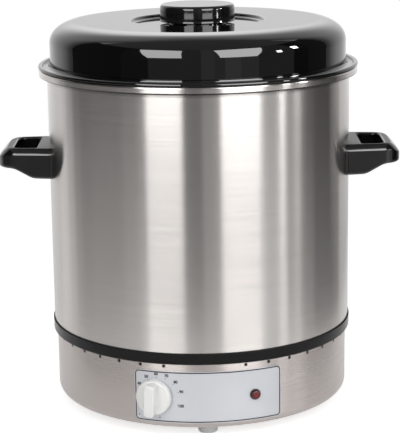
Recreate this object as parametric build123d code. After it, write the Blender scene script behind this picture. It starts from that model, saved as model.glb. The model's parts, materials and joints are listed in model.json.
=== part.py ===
from build123d import *
import math
import os

# Wax melting pot, in millimetres. The pot's axis is Z, the feet stand on z = 0 and the control
# panel faces -Y. Angles around the pot are in degrees from the front, growing towards +X.

# Pot
pot_radius = 175.0  # outside of the wall
pot_wall = 1.0
pot_depth = 300.0  # from the floor to the top of the rim
pot_corner = 5.0  # outside radius between wall and floor
rim_width = 10.2  # of the folded rim, from the inside of the wall
rim_height = 10.2
rim_corner = 2.2  # outside radius of the rim's folds
rim_slot = 1.6  # between the wall and the end of the fold

# Base skirt
foot_height = 12.4
skirt_inset = 3.0  # from the pot's wall to the skirt's
skirt_height = 79.6
skirt_wall = 0.8
skirt_corner = 9.5
skirt_flange_width = 52.0  # of the turned-in bottom
vent_radius = 1.5
vent_count = 37
vent_gap_half_angle = 15.3  # the front, above the panel, has no vents
vent_gap_middle = -1.3  # angle of the middle of that gap
vent_drop = 6.7  # from the top of the skirt to the row of vents

# Joint band between pot and skirt
band_ledge = 4.0  # thickness of the ledge that carries the pot
band_ledge_width = 14.0
band_lip = 1.2  # thickness of the lip outside the pot wall
band_pot_lap = 5.6
band_skirt_lap = 3.3
band_clearance = 0.2
band_edge = 0.9

# Base plate and feet
plate_clearance = 4.0  # from the plate's edge to the bend of the skirt
plate_thickness = 0.8
plate_vent_radius = 3.0
plate_vent_circle = 62.0
plate_vent_count = 20
foot_inset = 30.0  # from the skirt to the foot's axis
foot_top_radius = 13.0
foot_bottom_radius = 10.5
foot_edge = 2.5
foot_counterbore_depth = 5.0
foot_angles = {"front_foot": 0.0, "right_foot": 90.0, "back_foot": 180.0, "left_foot": 270.0}

# Fasteners: thread radius, head radius and height, nut width across flats and height
small_thread = 1.5
small_head_radius = 2.75
small_head_height = 2.0
medium_thread = 2.0
medium_head_radius = 3.8
medium_head_height = 2.4
medium_nut_width = 7.0
medium_nut_height = 3.2
tie_thread = 3.0
tie_nut_width = 10.0
tie_nut_height = 5.0
tie_washer_radius = 6.5
tie_washer_thickness = 1.2
slot_width = 1.0
slot_depth = 0.9
thread_end = 1.5  # length of thread that stands out of a nut
thread_clearance = 0.03
hole_clearance = 0.25

# Tie studs under the pot, and the heat shield that they carry
tie_inset = 37.0  # from the skirt to the stud's axis
tie_angles = (45.0, 135.0, 225.0, 315.0)
spacer_wall = 1.8
shield_drop = 30.0  # from the pot down to the underside of the shield
shield_clearance = 2.0  # between the shield and the back of the thermostat
shield_thickness = 0.8
shield_opening_radius = 33.0
shield_opening_back = 62.0  # the opening's place behind the axis
shield_notch_radius = 5.0  # hole that the capillary passes

# Handles
handle_drop = 89.7  # from the rim's top to the handle's top
handle_root_height = 35.0
handle_grip_height = 23.0
handle_length = 58.2  # from the pot's wall to the outside of the grip
handle_half_width = 44.5  # at the pot's wall
handle_taper = 7.0  # degrees that each side turns in towards the outside of the grip
handle_corner = 27.0
handle_fall_length = 18.0  # where the top curves down to the outside of the grip
handle_fall = 5.5
handle_slope_rise_from = 17.0  # from the pot's wall to the start of the underside's slope
handle_slope_length = 21.5
handle_slope_blend = 13.0
handle_root_thickness = 13.0  # from the pot's wall to the finger gap
handle_gap_length = 25.0
handle_side_bar = 9.6  # between the finger gap and the handle's sides
handle_gap_inner_corner = 1.5
handle_gap_outer_corner = 8.0
handle_top_edge = 7.0
handle_bottom_edge = 3.0
handle_gap_edge = 1.5
handle_screw_spacing = 41.4
insert_radius = 3.4
insert_length = 9.0
seal_radius = 6.0
seal_thickness = 1.0
handle_angles = (87.65, 267.65)  # right and left; the panel faces a little past square to them

# Lid
lid_clearance = 2.2  # between the fold and the pot's inner wall
lid_sheet = 0.8
lid_seat_gap = 0.3  # between the flange and the rim
lid_flange_overhang = 0.6  # beyond the outside of the rim
lid_hem_radius = 1.5
lid_flange_bend = 1.2
lid_wall_bend = 3.0  # between the flange and the wall
lid_fold_depth = 6.3  # of the doubled wall inside the pot, below the top of the flange
lid_wall_height = 27.5  # above the top of the flange
lid_shoulder_width = 30.5
lid_shoulder_height = 24.2
lid_shoulder_radius = 20.0  # at the wall; the crown's radius follows
lid_recess_radius = 79.5
lid_recess_depth = 4.6
lid_recess_upper_bend = 4.5
lid_recess_lower_bend = 3.5

# Lid knob
knob_radius = 43.0
knob_neck_radius = 33.0
knob_neck_height = 2.8
knob_cap_height = 19.5
knob_top_edge = 4.5
knob_flare = 0.8  # that the foot of the side stands out
knob_flare_height = 2.3
knob_bottom_edge = 0.5
knob_insert_radius = 4.0
knob_insert_length = 13.0
knob_thread = 2.5
knob_head_radius = 4.6
knob_head_height = 2.8
knob_washer_radius = 7.5
knob_washer_thickness = 1.0

# Control panel
label_arc = 169.2  # width, measured round the skirt
label_height = 59.5
label_bottom_rise = 7.6  # above the bottom of the skirt
label_thickness = 0.4
label_glue = 0.1  # between the label and the skirt
label_corner = 6.0
dial_left = 60.8  # from the panel's middle, round the skirt
dial_rise = 37.1  # above the bottom of the skirt
dial_rest_turn = 3.0  # degrees that the grip leans clockwise when off
dial_radius = 20.1
dial_gap = 0.7
dial_disc_height = 6.6
dial_disc_edge = 2.2
dial_recess_radius = 18.2
dial_recess_depth = 4.2
dial_hub_radius = 6.0
dial_grip_width = 12.6
dial_grip_length = 36.4
dial_grip_corner = 4.5
dial_grip_height = 13.6
dial_grip_edge = 2.0
dial_bore_depth = 14.0

# Thermostat
shaft_radius = 3.0
shaft_flat = 2.3  # from the shaft's axis to its flat
shaft_clearance = 0.05
shaft_hole_radius = 4.5
shaft_inside = 20.0  # length behind the skirt
thermostat_width = 36.0
thermostat_height = 34.0
thermostat_depth = 24.0
thermostat_stand_off = 3.0
thermostat_collar_radius = 8.0
thermostat_boss_radius = 4.4
thermostat_screw_spacing = 27.0
thermostat_screw_length = 11.0
tab_width = 5.0
tab_thickness = 0.8
tab_length = 6.0
tab_side = 10.0  # from the thermostat's middle
tab_drop = 8.0
lamp_tab_rise = 2.0
capillary_radius = 1.0
capillary_rise = 8.0
capillary_run = 18.0
capillary_bend = 7.0
bulb_radius = 3.0
bulb_length = 70.0
bulb_inset = 35.0  # from the skirt to the bulb's middle
bulb_angle = 12.0
clip_sheet = 0.8
clip_width = 14.0
clip_tab = 6.0
clip_clearance = 0.05

# Pilot lamp
lamp_right = 52.5  # from the panel's middle, round the skirt
lamp_rise = 37.6
lamp_barrel_radius = 5.0
lamp_barrel_wall = 0.9
lamp_barrel_length = 22.0
lamp_bezel_radius = 6.1
lamp_bezel_height = 1.8
lamp_lens_radius = 5.2
lamp_lens_sink = 1.0  # depth of the bezel's seat for the lens
lamp_lens_height = 3.6  # of the lens, above its seat
lamp_lens_edge = 1.8
lamp_nut_width = 14.0
lamp_nut_height = 4.0
lamp_bulb_radius = 3.0
lamp_bulb_length = 14.0
lamp_bulb_edge = 2.4

# Heater
spreader_inset = 60.0  # from the pot's wall
spreader_thickness = 4.0
element_inset = 30.0  # from the spreader's edge to the middle of the ring
element_width = 9.0
element_height = 8.0
element_edge = 3.0
element_gap_half_angle = 12.0
element_leg_radius = 3.5
element_leg_length = 7.0
terminal_bush_length = 4.0
terminal_pin_radius = 1.5
terminal_pin_length = 5.0
cutout_back = 40.0  # place behind the axis
cutout_radius = 8.0
cutout_height = 11.0
cutout_flange_length = 28.0
cutout_flange_width = 11.0
cutout_flange_thickness = 1.0
cutout_screw_spacing = 22.0
cutout_screw_length = 4.0
cutout_tab_side = 4.0

# Wiring
block_poles = 4
block_pole_pitch = 10.0
block_depth = 18.0
block_height = 16.0
block_inset = 55.0  # from the plate's edge to the block's middle
block_bore_rise = 6.0
block_screw_radius = 1.9
wire_radius = 1.2
wire_bend = 8.0
wire_straight = 25.0  # length of each wire's first run
live_wire_left = 30.0
live_wire_rise = 11.0
switched_wire_rise = 34.0
switched_wire_climb = 4.0
neutral_wire_rise = 26.0
cutout_wire_drop = 16.0
element_wire_drop = 14.0
lamp_wire_right = 30.0
lamp_wire_rise = 16.0
earth_wire_straight = 20.0
earth_wire_end = 12.0
earth_wire_bend = 4.0
earth_right = 54.0
earth_back = 60.0
earth_stud_radius = 2.5
earth_stud_height = 11.0
earth_nut_width = 8.0
earth_nut_height = 4.0
lug_radius = 5.0
lug_thickness = 0.8
lug_tongue_width = 5.0
lug_tongue_length = 8.0  # from the stud to the barrel
lug_barrel_radius = 2.0
lug_barrel_length = 10.0

# Cable gland at the back
gland_rise = 23.6
gland_bore = 4.1  # of the cap
gland_inner_bore = 4.6  # of the seal and the body
gland_barrel_radius = 7.6
gland_barrel_length = 14.0
gland_flange_width = 20.0
gland_flange_height = 5.0
gland_thread_height = 4.0
gland_seat_radius = 5.8
gland_seat_depth = 2.0  # below the outside of the skirt
gland_seal_clearance = 0.05
gland_cap_radius = 9.4
gland_cap_top = 3.6
gland_cap_edge = 2.0
gland_locknut_height = 4.5

# Sizes that follow
rim_outer = pot_radius - pot_wall + rim_width
skirt_radius = pot_radius - skirt_inset
skirt_flange_inner = skirt_radius - skirt_flange_width
plate_radius = skirt_radius - skirt_corner - plate_clearance
band_ledge_inner = skirt_radius - band_ledge_width
block_back = plate_radius - block_inset
foot_circle = skirt_radius - foot_inset
tie_circle = skirt_radius - tie_inset
bulb_circle = skirt_radius - bulb_inset
spreader_radius = pot_radius - spreader_inset
element_circle = spreader_radius - element_inset
handle_reach = pot_radius + handle_length
handle_gap_inner = pot_radius + handle_root_thickness
handle_gap_outer = handle_gap_inner + handle_gap_length
handle_screw_angle = math.degrees(math.asin(handle_screw_spacing / 2 / pot_radius))
lid_radius = pot_radius - pot_wall - lid_clearance - lid_sheet
lid_flange_radius = rim_outer + lid_flange_overhang
dial_angle = -math.degrees(dial_left / skirt_radius)
lamp_angle = math.degrees(lamp_right / skirt_radius)

# Levels that follow
skirt_bottom = foot_height
skirt_top = skirt_bottom + skirt_height
skirt_inner = skirt_radius - skirt_wall
pot_bottom = skirt_top + band_ledge
pot_floor = pot_bottom + pot_wall
rim_top = pot_floor + pot_depth
plate_bottom = skirt_bottom + skirt_wall
plate_top = plate_bottom + plate_thickness
shield_bottom = pot_bottom - shield_drop
shield_radius = skirt_inner - thermostat_stand_off - thermostat_depth - shield_clearance
shield_top = shield_bottom + shield_thickness
spreader_bottom = pot_bottom - spreader_thickness
label_radius = skirt_radius + label_glue + label_thickness
dial_level = skirt_bottom + dial_rise
lamp_level = skirt_bottom + lamp_rise
gland_level = skirt_bottom + gland_rise
handle_top = rim_top - handle_drop
handle_screw_level = handle_top - handle_root_height / 2
lid_flange_top = rim_top + lid_seat_gap + lid_sheet
lid_wall_top = lid_flange_top + lid_wall_height
lid_top = lid_wall_top + lid_shoulder_height
lid_recess_floor = lid_top - lid_recess_depth
block_width = block_poles * block_pole_pitch
beyond = 5.0  # how far a cut runs past the face that it opens
near = 0.01  # two places closer than this are the same


def cylinder(radius, bottom, top):
    """A solid round bar along Z."""
    aligned = (Align.CENTER, Align.CENTER, Align.MIN)
    return Pos(0, 0, bottom) * Cylinder(radius, top - bottom, align=aligned)


def tube(outer, inner, bottom, top):
    """A round tube or washer along Z."""
    return cylinder(outer, bottom, top) - cylinder(inner, bottom - beyond, top + beyond)


def hexagon(width, bottom, top):
    """A six-sided bar along Z, by its width across the flats."""
    return Pos(0, 0, bottom) * extrude(RegularPolygon(width / 2, 6, major_radius=False), top - bottom)


def nut(width, bore, bottom, top):
    return hexagon(width, bottom, top) - cylinder(bore, bottom - beyond, top + beyond)


def screw(thread, head_radius, head_height, length):
    """A slotted round-head screw: its head stands on z = 0 and its thread runs down -Z."""
    head = cylinder(head_radius, 0, head_height)
    rounded = head.edges().group_by(Axis.Z)[-1]
    head = fillet(rounded, head_height / 2)
    slot = Pos(0, 0, head_height) * Box(2 * head_radius, slot_width, 2 * slot_depth)
    return head - slot + cylinder(thread, -length, 0)


def out_of_wall(angle, radius, level):
    """A place on a round wall: its own Z points outwards and its own Y points up."""
    turn = math.radians(angle)
    outward = Vector(math.sin(turn), -math.cos(turn), 0)
    across = Vector(math.cos(turn), math.sin(turn), 0)
    return Plane(outward * radius + Vector(0, 0, level), x_dir=across, z_dir=outward).location


def around(angle, radius):
    """A place above the base plate, by angle from the front and distance from the axis."""
    turn = math.radians(angle)
    return Pos(radius * math.sin(turn), -radius * math.cos(turn), 0)


def turned(edges):
    """A closed outline of radius and height, turned about the pot's axis."""
    return revolve(Plane.XZ * make_face(edges), Axis.Z)


def path_of(points):
    """Straight edges through points."""
    return [Line(first, second) for first, second in zip(points, points[1:])]


def pieces(solids):
    """Separate solids that share one node."""
    return Compound([one.solid() for one in solids])


def wire_along(points, radius, bend):
    """A round wire along straight runs with rounded corners."""
    path = FilletPolyline(*points, radius=bend)
    start = Plane(path @ 0, z_dir=path % 0)
    return sweep(start * Circle(radius), path)


def along(place, across, up, out):
    """The point that lies that far across, up and out from a place on a wall."""
    return (place * Pos(across, up, out)).position


# Pot

def pot_shell():
    corner = (pot_radius - pot_corner, pot_bottom + pot_corner)
    wall_inside = pot_radius - pot_wall
    rim_bottom = rim_top - rim_height
    inner_fold = (wall_inside + rim_corner, rim_top - rim_corner)
    upper_fold = (rim_outer - rim_corner, rim_top - rim_corner)
    lower_fold = (rim_outer - rim_corner, rim_bottom + rim_corner)
    bend = rim_corner - pot_wall
    fold_end = pot_radius + rim_slot
    edges = [
        Line((0, pot_bottom), (corner[0], pot_bottom)),
        CenterArc(corner, pot_corner, -90, 90),
        Line((pot_radius, corner[1]), (pot_radius, inner_fold[1])),
        CenterArc(inner_fold, bend, 180, -90),
        Line((inner_fold[0], rim_top - pot_wall), (upper_fold[0], rim_top - pot_wall)),
        CenterArc(upper_fold, bend, 90, -90),
        Line((rim_outer - pot_wall, upper_fold[1]), (rim_outer - pot_wall, lower_fold[1])),
        CenterArc(lower_fold, bend, 0, -90),
        Line((lower_fold[0], rim_bottom + pot_wall), (fold_end, rim_bottom + pot_wall)),
        Line((fold_end, rim_bottom + pot_wall), (fold_end, rim_bottom)),
        Line((fold_end, rim_bottom), (lower_fold[0], rim_bottom)),
        CenterArc(lower_fold, rim_corner, -90, 90),
        Line((rim_outer, lower_fold[1]), (rim_outer, upper_fold[1])),
        CenterArc(upper_fold, rim_corner, 0, 90),
        Line((upper_fold[0], rim_top), (inner_fold[0], rim_top)),
        CenterArc(inner_fold, rim_corner, 90, 90),
        Line((wall_inside, inner_fold[1]), (wall_inside, corner[1])),
        CenterArc(corner, pot_corner - pot_wall, 0, -90),
        Line((corner[0], pot_floor), (0, pot_floor)),
        Line((0, pot_floor), (0, pot_bottom)),
    ]
    shell = turned(edges)
    for place in handle_screw_places():
        shell -= place * cylinder(medium_thread + hole_clearance, -beyond, beyond)
    return shell


def handle_screw_places():
    """Where each handle screw crosses the pot's inner wall."""
    sides = (-handle_screw_angle, handle_screw_angle)
    angles = [middle + side for middle in handle_angles for side in sides]
    return [out_of_wall(angle, pot_radius - pot_wall, handle_screw_level) for angle in angles]


def handle_plan(inner, outer, inset):
    """The handle's tapered outline between two distances from the pot's axis, less an inset at its sides."""
    def half_width(out):
        return handle_half_width - inset - (out - pot_radius) * math.tan(math.radians(handle_taper))

    corners = [(inner, half_width(inner)), (outer, half_width(outer))]
    mirrored = [(out, -half) for out, half in reversed(corners)]
    return make_face(path_of(corners + mirrored + corners[:1]))


def handle(angle):
    """A loop handle, with its middle at that angle round the pot."""
    root_bottom = handle_top - handle_root_height
    grip_bottom = handle_top - handle_grip_height
    inside = pot_radius - handle_half_width
    plan = handle_plan(inside, handle_reach, 0)
    plan = fillet(plan.vertices().group_by(Axis.X)[-1], handle_corner)
    block = Pos(0, 0, root_bottom) * extrude(plan, handle_root_height)
    slope_start = pot_radius + handle_slope_rise_from
    slope_end = slope_start + handle_slope_length
    fall_start = handle_reach - handle_fall_length
    fall_radius = (handle_fall_length**2 + handle_fall**2) / (2 * handle_fall)
    fall_turn = math.degrees(math.asin(handle_fall_length / fall_radius))
    side = make_face(path_of([
        (inside, handle_top),
        (inside, root_bottom),
        (slope_start, root_bottom),
        (slope_end, grip_bottom),
        (handle_reach, grip_bottom),
        (handle_reach, handle_top - handle_fall),
    ]) + [
        CenterArc((fall_start, handle_top - fall_radius), fall_radius, 90 - fall_turn, fall_turn),
        Line((fall_start, handle_top), (inside, handle_top)),
    ])
    bends = [v for v in side.vertices() if slope_start - near < v.X < slope_end + near and v.Y < handle_top - near]
    side = fillet(bends, handle_slope_blend)
    block &= extrude(Plane.XZ * side, 2 * handle_half_width, both=True)

    outside = [e for e in block.edges() if (e @ 0.5).X > inside + near]
    top_edges = [
        e for e in outside
        if (e @ 0.5).Z > handle_top - handle_fall - near
        and not (abs((e @ 0.5).X - fall_start) < near and abs((e @ 0.5).Y) < near)
    ]
    block = fillet(top_edges, handle_top_edge)
    low_faces = [f for f in block.faces() if f.normal_at().Z < -0.5]
    low_edges = [
        e for f in low_faces for e in f.edges()
        if abs((e @ 0.5).Y) > handle_half_width / 2 or (e @ 0.5).X > handle_reach - near
    ]
    low_edges = [e for e in low_edges if (e @ 0.5).X > inside + near]
    block = fillet(low_edges, handle_bottom_edge)

    gap = handle_plan(handle_gap_inner, handle_gap_outer, handle_side_bar)
    gap = fillet(gap.vertices().group_by(Axis.X)[-1], handle_gap_outer_corner)
    gap = fillet(gap.vertices().group_by(Axis.X)[0], handle_gap_inner_corner)
    block -= Pos(0, 0, root_bottom - beyond) * extrude(gap, handle_root_height + 2 * beyond)
    gap_edges = [
        e for e in block.edges()
        if (e @ 0).Z > handle_top - near and (e @ 0.5).Z > handle_top - near
        and handle_gap_inner - near < (e @ 0.5).X < handle_gap_outer + near
        and abs((e @ 0.5).Y) < handle_half_width - handle_side_bar
    ]
    block = fillet(gap_edges, handle_gap_edge)

    block -= cylinder(pot_radius, root_bottom - beyond, handle_top + beyond)
    block = Rot(0, 0, angle - 90) * block
    for place in handle_screw_places():
        block -= place * cylinder(insert_radius, 0, pot_wall + insert_length)
    return block


def handle_inserts():
    bodies = []
    for place in handle_screw_places():
        insert = tube(insert_radius, medium_thread + thread_clearance, 0, pot_wall + insert_length)
        bodies.append(place * insert - cylinder(pot_radius, 0, rim_top))
    return pieces(bodies)


def handle_sealing_washers():
    washer = tube(seal_radius, medium_thread + hole_clearance, -seal_thickness, pot_wall)
    inside = cylinder(pot_radius - pot_wall, pot_floor, rim_top)
    return pieces([(place * washer) & inside for place in handle_screw_places()])


def handle_screws():
    length = seal_thickness + pot_wall + insert_length - thread_end
    body = Rot(180, 0, 0) * screw(medium_thread, medium_head_radius, medium_head_height, length)
    return pieces([place * Pos(0, 0, -seal_thickness) * body for place in handle_screw_places()])


# Lid

def lid_side(depth):
    """One face of the lid's sheet, at a depth below its upper face, from the flange to the middle."""
    crown_radius = lid_crown_radius()
    shoulder_middle = (lid_radius - lid_shoulder_radius, lid_wall_top)
    crown_middle = (lid_radius - lid_shoulder_width, lid_top - crown_radius)
    turn = math.degrees(
        math.atan2(shoulder_middle[1] - crown_middle[1], shoulder_middle[0] - crown_middle[0])
    )
    bends = lid_recess_upper_bend + lid_recess_lower_bend
    recess_turn = math.degrees(math.acos(1 - lid_recess_depth / bends))
    upper_middle = (lid_recess_radius, lid_top - lid_recess_upper_bend)
    lower_middle = (
        lid_recess_radius - bends * math.sin(math.radians(recess_turn)),
        lid_recess_floor + lid_recess_lower_bend,
    )
    arcs = [
        *(lid_wall_foot() if depth == 0 else lid_fold()),
        CenterArc(shoulder_middle, lid_shoulder_radius - depth, 0, turn),
        CenterArc(crown_middle, crown_radius - depth, turn, 90 - turn),
        CenterArc(upper_middle, lid_recess_upper_bend - depth, 90, recess_turn),
        CenterArc(lower_middle, lid_recess_lower_bend + depth, recess_turn - 90, -recess_turn),
    ]
    hem_start = lid_hem_points()[0 if depth == 0 else 1]
    middle = (knob_thread + hole_clearance, lid_recess_floor - depth)
    ends = [hem_start] + [end for arc in arcs for end in (arc @ 0, arc @ 1)] + [middle]
    joins = [
        Line(ends[i], ends[i + 1])
        for i in range(0, len(ends), 2)
        if (Vector(ends[i]) - Vector(ends[i + 1])).length > near
    ]
    return arcs + joins, middle


def lid_wall_foot():
    """The bend from the flange's upper face to the outside of the wall."""
    middle = (lid_radius + lid_wall_bend, lid_flange_top + lid_wall_bend)
    return [CenterArc(middle, lid_wall_bend, -90, -90)]


def lid_fold():
    """The bends from the flange's lower face, down round the doubled wall, to the inside of the wall."""
    flange_middle = (lid_radius + lid_sheet + lid_flange_bend, lid_flange_top - lid_sheet - lid_flange_bend)
    fold_middle = (lid_radius, lid_flange_top - lid_fold_depth + lid_sheet)
    return [
        CenterArc(flange_middle, lid_flange_bend, 90, 90),
        CenterArc(fold_middle, lid_sheet, 0, -180),
    ]


def lid_crown_radius():
    """The crown's radius that runs on smoothly from the shoulder's."""
    across = lid_shoulder_width - lid_shoulder_radius
    rise = lid_shoulder_height
    return (across**2 + rise**2 - lid_shoulder_radius**2) / (2 * (rise - lid_shoulder_radius))


def lid_hem_points():
    """Where the rolled hem leaves the flange's upper face and its lower face."""
    across = lid_flange_radius - lid_hem_radius
    level = lid_flange_top - lid_sheet + lid_hem_radius
    reach = math.sqrt(lid_hem_radius**2 - (level - lid_flange_top) ** 2)
    return (across - reach, lid_flange_top), (across, lid_flange_top - lid_sheet)


def lid_shell():
    upper, upper_middle = lid_side(0)
    lower, lower_middle = lid_side(lid_sheet)
    across = lid_flange_radius - lid_hem_radius
    level = lid_flange_top - lid_sheet + lid_hem_radius
    start = lid_hem_points()[0]
    start_angle = math.degrees(math.atan2(start[1] - level, start[0] - across)) % 360
    hem = CenterArc((across, level), lid_hem_radius, -90, start_angle + 90)
    return turned(upper + lower + [hem, Line(upper_middle, lower_middle)])


def lid_knob():
    cap_bottom = lid_recess_floor + knob_neck_height
    cap_top = cap_bottom + knob_cap_height
    side = make_face(path_of([
        (0, lid_recess_floor),
        (knob_neck_radius, lid_recess_floor),
        (knob_neck_radius, cap_bottom),
        (knob_radius + knob_flare, cap_bottom),
        (knob_radius, cap_bottom + knob_flare_height),
        (knob_radius, cap_top),
        (0, cap_top),
        (0, lid_recess_floor),
    ]))
    foot = [v for v in side.vertices() if v.X > knob_radius + knob_flare - near]
    side = fillet(foot, knob_bottom_edge)
    top_corner = [v for v in side.vertices() if v.X > knob_radius - near and v.Y > cap_top - near]
    side = fillet(top_corner, knob_top_edge)
    knob = revolve(Plane.XZ * side, Axis.Z)
    insert_top = lid_recess_floor + knob_insert_length
    return knob - cylinder(knob_insert_radius, lid_recess_floor - beyond, insert_top)


def lid_knob_insert():
    top = lid_recess_floor + knob_insert_length
    return tube(knob_insert_radius, knob_thread + thread_clearance, lid_recess_floor, top)


def lid_knob_washer():
    top = lid_recess_floor - lid_sheet
    return tube(knob_washer_radius, knob_thread + hole_clearance, top - knob_washer_thickness, top)


def lid_knob_screw():
    length = knob_washer_thickness + lid_sheet + knob_insert_length - thread_end
    seat = lid_recess_floor - lid_sheet - knob_washer_thickness
    body = screw(knob_thread, knob_head_radius, knob_head_height, length)
    return Pos(0, 0, seat) * Rot(180, 0, 0) * body


# Base

def joint_band():
    outer = pot_radius + band_clearance + band_lip
    points = [
        (band_ledge_inner, skirt_top),
        (skirt_radius + band_clearance, skirt_top),
        (skirt_radius + band_clearance, skirt_top - band_skirt_lap),
        (outer, skirt_top - band_skirt_lap),
        (outer, pot_bottom + band_pot_lap),
        (pot_radius + band_clearance, pot_bottom + band_pot_lap),
        (pot_radius + band_clearance, pot_bottom),
        (band_ledge_inner, pot_bottom),
        (band_ledge_inner, skirt_top),
    ]
    section = make_face(path_of(points))
    section = fillet(section.vertices().group_by(Axis.X)[-1], band_edge)
    return revolve(Plane.XZ * section, Axis.Z)


def base_skirt():
    corner = (skirt_radius - skirt_corner, skirt_bottom + skirt_corner)
    edges = [
        Line((skirt_flange_inner, skirt_bottom), (corner[0], skirt_bottom)),
        CenterArc(corner, skirt_corner, -90, 90),
        Line((skirt_radius, corner[1]), (skirt_radius, skirt_top)),
        Line((skirt_radius, skirt_top), (skirt_inner, skirt_top)),
        Line((skirt_inner, skirt_top), (skirt_inner, corner[1])),
        CenterArc(corner, skirt_corner - skirt_wall, 0, -90),
        Line((corner[0], plate_bottom), (skirt_flange_inner, plate_bottom)),
        Line((skirt_flange_inner, plate_bottom), (skirt_flange_inner, skirt_bottom)),
    ]
    skirt = turned(edges)
    cuts = [place * cylinder(radius, -beyond, beyond) for place, radius in panel_holes()]
    pitch = (360 - 2 * vent_gap_half_angle) / (vent_count - 1)
    first = vent_gap_middle + vent_gap_half_angle
    for number in range(vent_count):
        place = out_of_wall(first + number * pitch, skirt_radius, skirt_top - vent_drop)
        cuts.append(place * cylinder(vent_radius, -beyond, beyond))
    cuts.append(gland_place() * cylinder(gland_barrel_radius + hole_clearance, -beyond, beyond))
    cuts += upright_holes(foot_places(), medium_thread)
    cuts += upright_holes(tie_places(), tie_thread)
    return skirt - cuts


def panel_holes():
    """Each hole through the label and the skirt behind it: its place and its radius."""
    half = thermostat_screw_spacing / 2
    screw_hole = medium_thread + hole_clearance
    return [
        (dial_place(), shaft_hole_radius),
        (dial_place() * Pos(0, half, 0), screw_hole),
        (dial_place() * Pos(0, -half, 0), screw_hole),
        (lamp_place(), lamp_barrel_radius + hole_clearance),
    ]


def upright_holes(places, thread):
    """Clearance holes through the base plate and the skirt's turned-in bottom."""
    hole = cylinder(thread + hole_clearance, skirt_bottom - beyond, plate_top + beyond)
    return [place * hole for place in places]


def foot_places():
    return [around(angle, foot_circle) for angle in foot_angles.values()]


def tie_places():
    return [around(angle, tie_circle) for angle in tie_angles]


def block_fixing_places():
    """The terminal block is screwed down between its outer poles and the next ones."""
    across = block_pole_pitch * (block_poles / 2 - 1)
    return [Pos(side * across, block_back, 0) for side in (-1, 1)]


def base_plate():
    plate = cylinder(plate_radius, plate_bottom, plate_top)
    cuts = upright_holes(foot_places(), medium_thread) + upright_holes(tie_places(), tie_thread)
    vent = cylinder(plate_vent_radius, plate_bottom - beyond, plate_top + beyond)
    for number in range(plate_vent_count):
        cuts.append(around(number * 360 / plate_vent_count, plate_vent_circle) * vent)
    tapped = cylinder(small_thread + thread_clearance, plate_bottom - beyond, plate_top + beyond)
    cuts += [place * tapped for place in block_fixing_places()]
    return plate - cuts


def foot():
    aligned = (Align.CENTER, Align.CENTER, Align.MIN)
    body = Cone(foot_bottom_radius, foot_top_radius, foot_height, align=aligned)
    body = fillet(body.edges().group_by(Axis.Z)[0], foot_edge)
    body -= cylinder(medium_head_radius + 2 * hole_clearance, -beyond, foot_counterbore_depth)
    return body - cylinder(medium_thread + hole_clearance, 0, foot_height + beyond)


def foot_screws():
    length = plate_top + medium_nut_height + thread_end - foot_counterbore_depth
    body = Rot(180, 0, 0) * screw(medium_thread, medium_head_radius, medium_head_height, length)
    return pieces([place * Pos(0, 0, foot_counterbore_depth) * body for place in foot_places()])


def foot_nuts():
    bore = medium_thread + thread_clearance
    return pieces([
        place * nut(medium_nut_width, bore, plate_top, plate_top + medium_nut_height)
        for place in foot_places()
    ])


def tie_studs():
    bottom = skirt_bottom - tie_washer_thickness - tie_nut_height - thread_end
    return pieces([place * cylinder(tie_thread, bottom, pot_bottom) for place in tie_places()])


def tie_washers():
    bore = tie_thread + hole_clearance
    washer = tube(tie_washer_radius, bore, skirt_bottom - tie_washer_thickness, skirt_bottom)
    return pieces([place * washer for place in tie_places()])


def tie_nuts():
    top = skirt_bottom - tie_washer_thickness
    body = nut(tie_nut_width, tie_thread + thread_clearance, top - tie_nut_height, top)
    return pieces([place * body for place in tie_places()])


def tie_spacers():
    bore = tie_thread + hole_clearance
    return pieces([
        place * tube(bore + spacer_wall, bore, plate_top, shield_bottom) for place in tie_places()
    ])


def heat_shield():
    shield = cylinder(shield_radius, shield_bottom, shield_top)
    low, high = shield_bottom - beyond, shield_top + beyond
    cuts = [place * cylinder(tie_thread + hole_clearance, low, high) for place in tie_places()]
    cuts.append(Pos(0, shield_opening_back, 0) * cylinder(shield_opening_radius, low, high))
    riser = capillary_points()[1]
    cuts.append(Pos(riser.X, riser.Y, 0) * cylinder(shield_notch_radius, low, high))
    return shield - cuts


def shield_nuts():
    body = nut(tie_nut_width, tie_thread + thread_clearance, shield_top, shield_top + tie_nut_height)
    return pieces([place * body for place in tie_places()])


# Control panel

def control_label():
    low = skirt_bottom + label_bottom_rise
    half = label_arc / 2 / skirt_radius
    sheet = tube(label_radius, skirt_radius + label_glue, low, low + label_height)
    front = Plane.XZ * Pos(0, low + label_height / 2) * RectangleRounded(
        2 * label_radius * math.sin(half), label_height, label_corner
    )
    sheet &= extrude(front, label_radius + beyond)
    return sheet - [place * cylinder(radius, -beyond, beyond) for place, radius in panel_holes()]


def dial_place():
    """On the label at the dial's axis."""
    return out_of_wall(dial_angle, label_radius, dial_level)


def shaft_section(spare):
    """The round shaft with its flat, grown by a clearance."""
    round_side = shaft_radius + spare
    flat_side = shaft_flat + spare
    width = round_side + flat_side
    kept = Pos((flat_side - round_side) / 2, 0) * Rectangle(width, 2 * round_side)
    return Circle(round_side) & kept


def dial_knob():
    face = dial_gap + dial_disc_height
    disc = cylinder(dial_radius, dial_gap, face)
    disc = fillet(disc.edges().group_by(Axis.Z)[-1], dial_disc_edge)
    recess = tube(dial_recess_radius, dial_hub_radius, dial_gap - beyond, dial_gap + dial_recess_depth)
    grip = Pos(0, 0, face) * extrude(
        RectangleRounded(dial_grip_width, dial_grip_length, dial_grip_corner), dial_grip_height
    )
    grip = fillet(grip.edges().group_by(Axis.Z)[-1], dial_grip_edge)
    bore = Pos(0, 0, dial_gap - beyond) * extrude(shaft_section(thread_clearance), dial_bore_depth + beyond)
    return dial_place() * Rot(0, 0, -dial_rest_turn) * (disc - recess + grip - bore)


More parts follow.
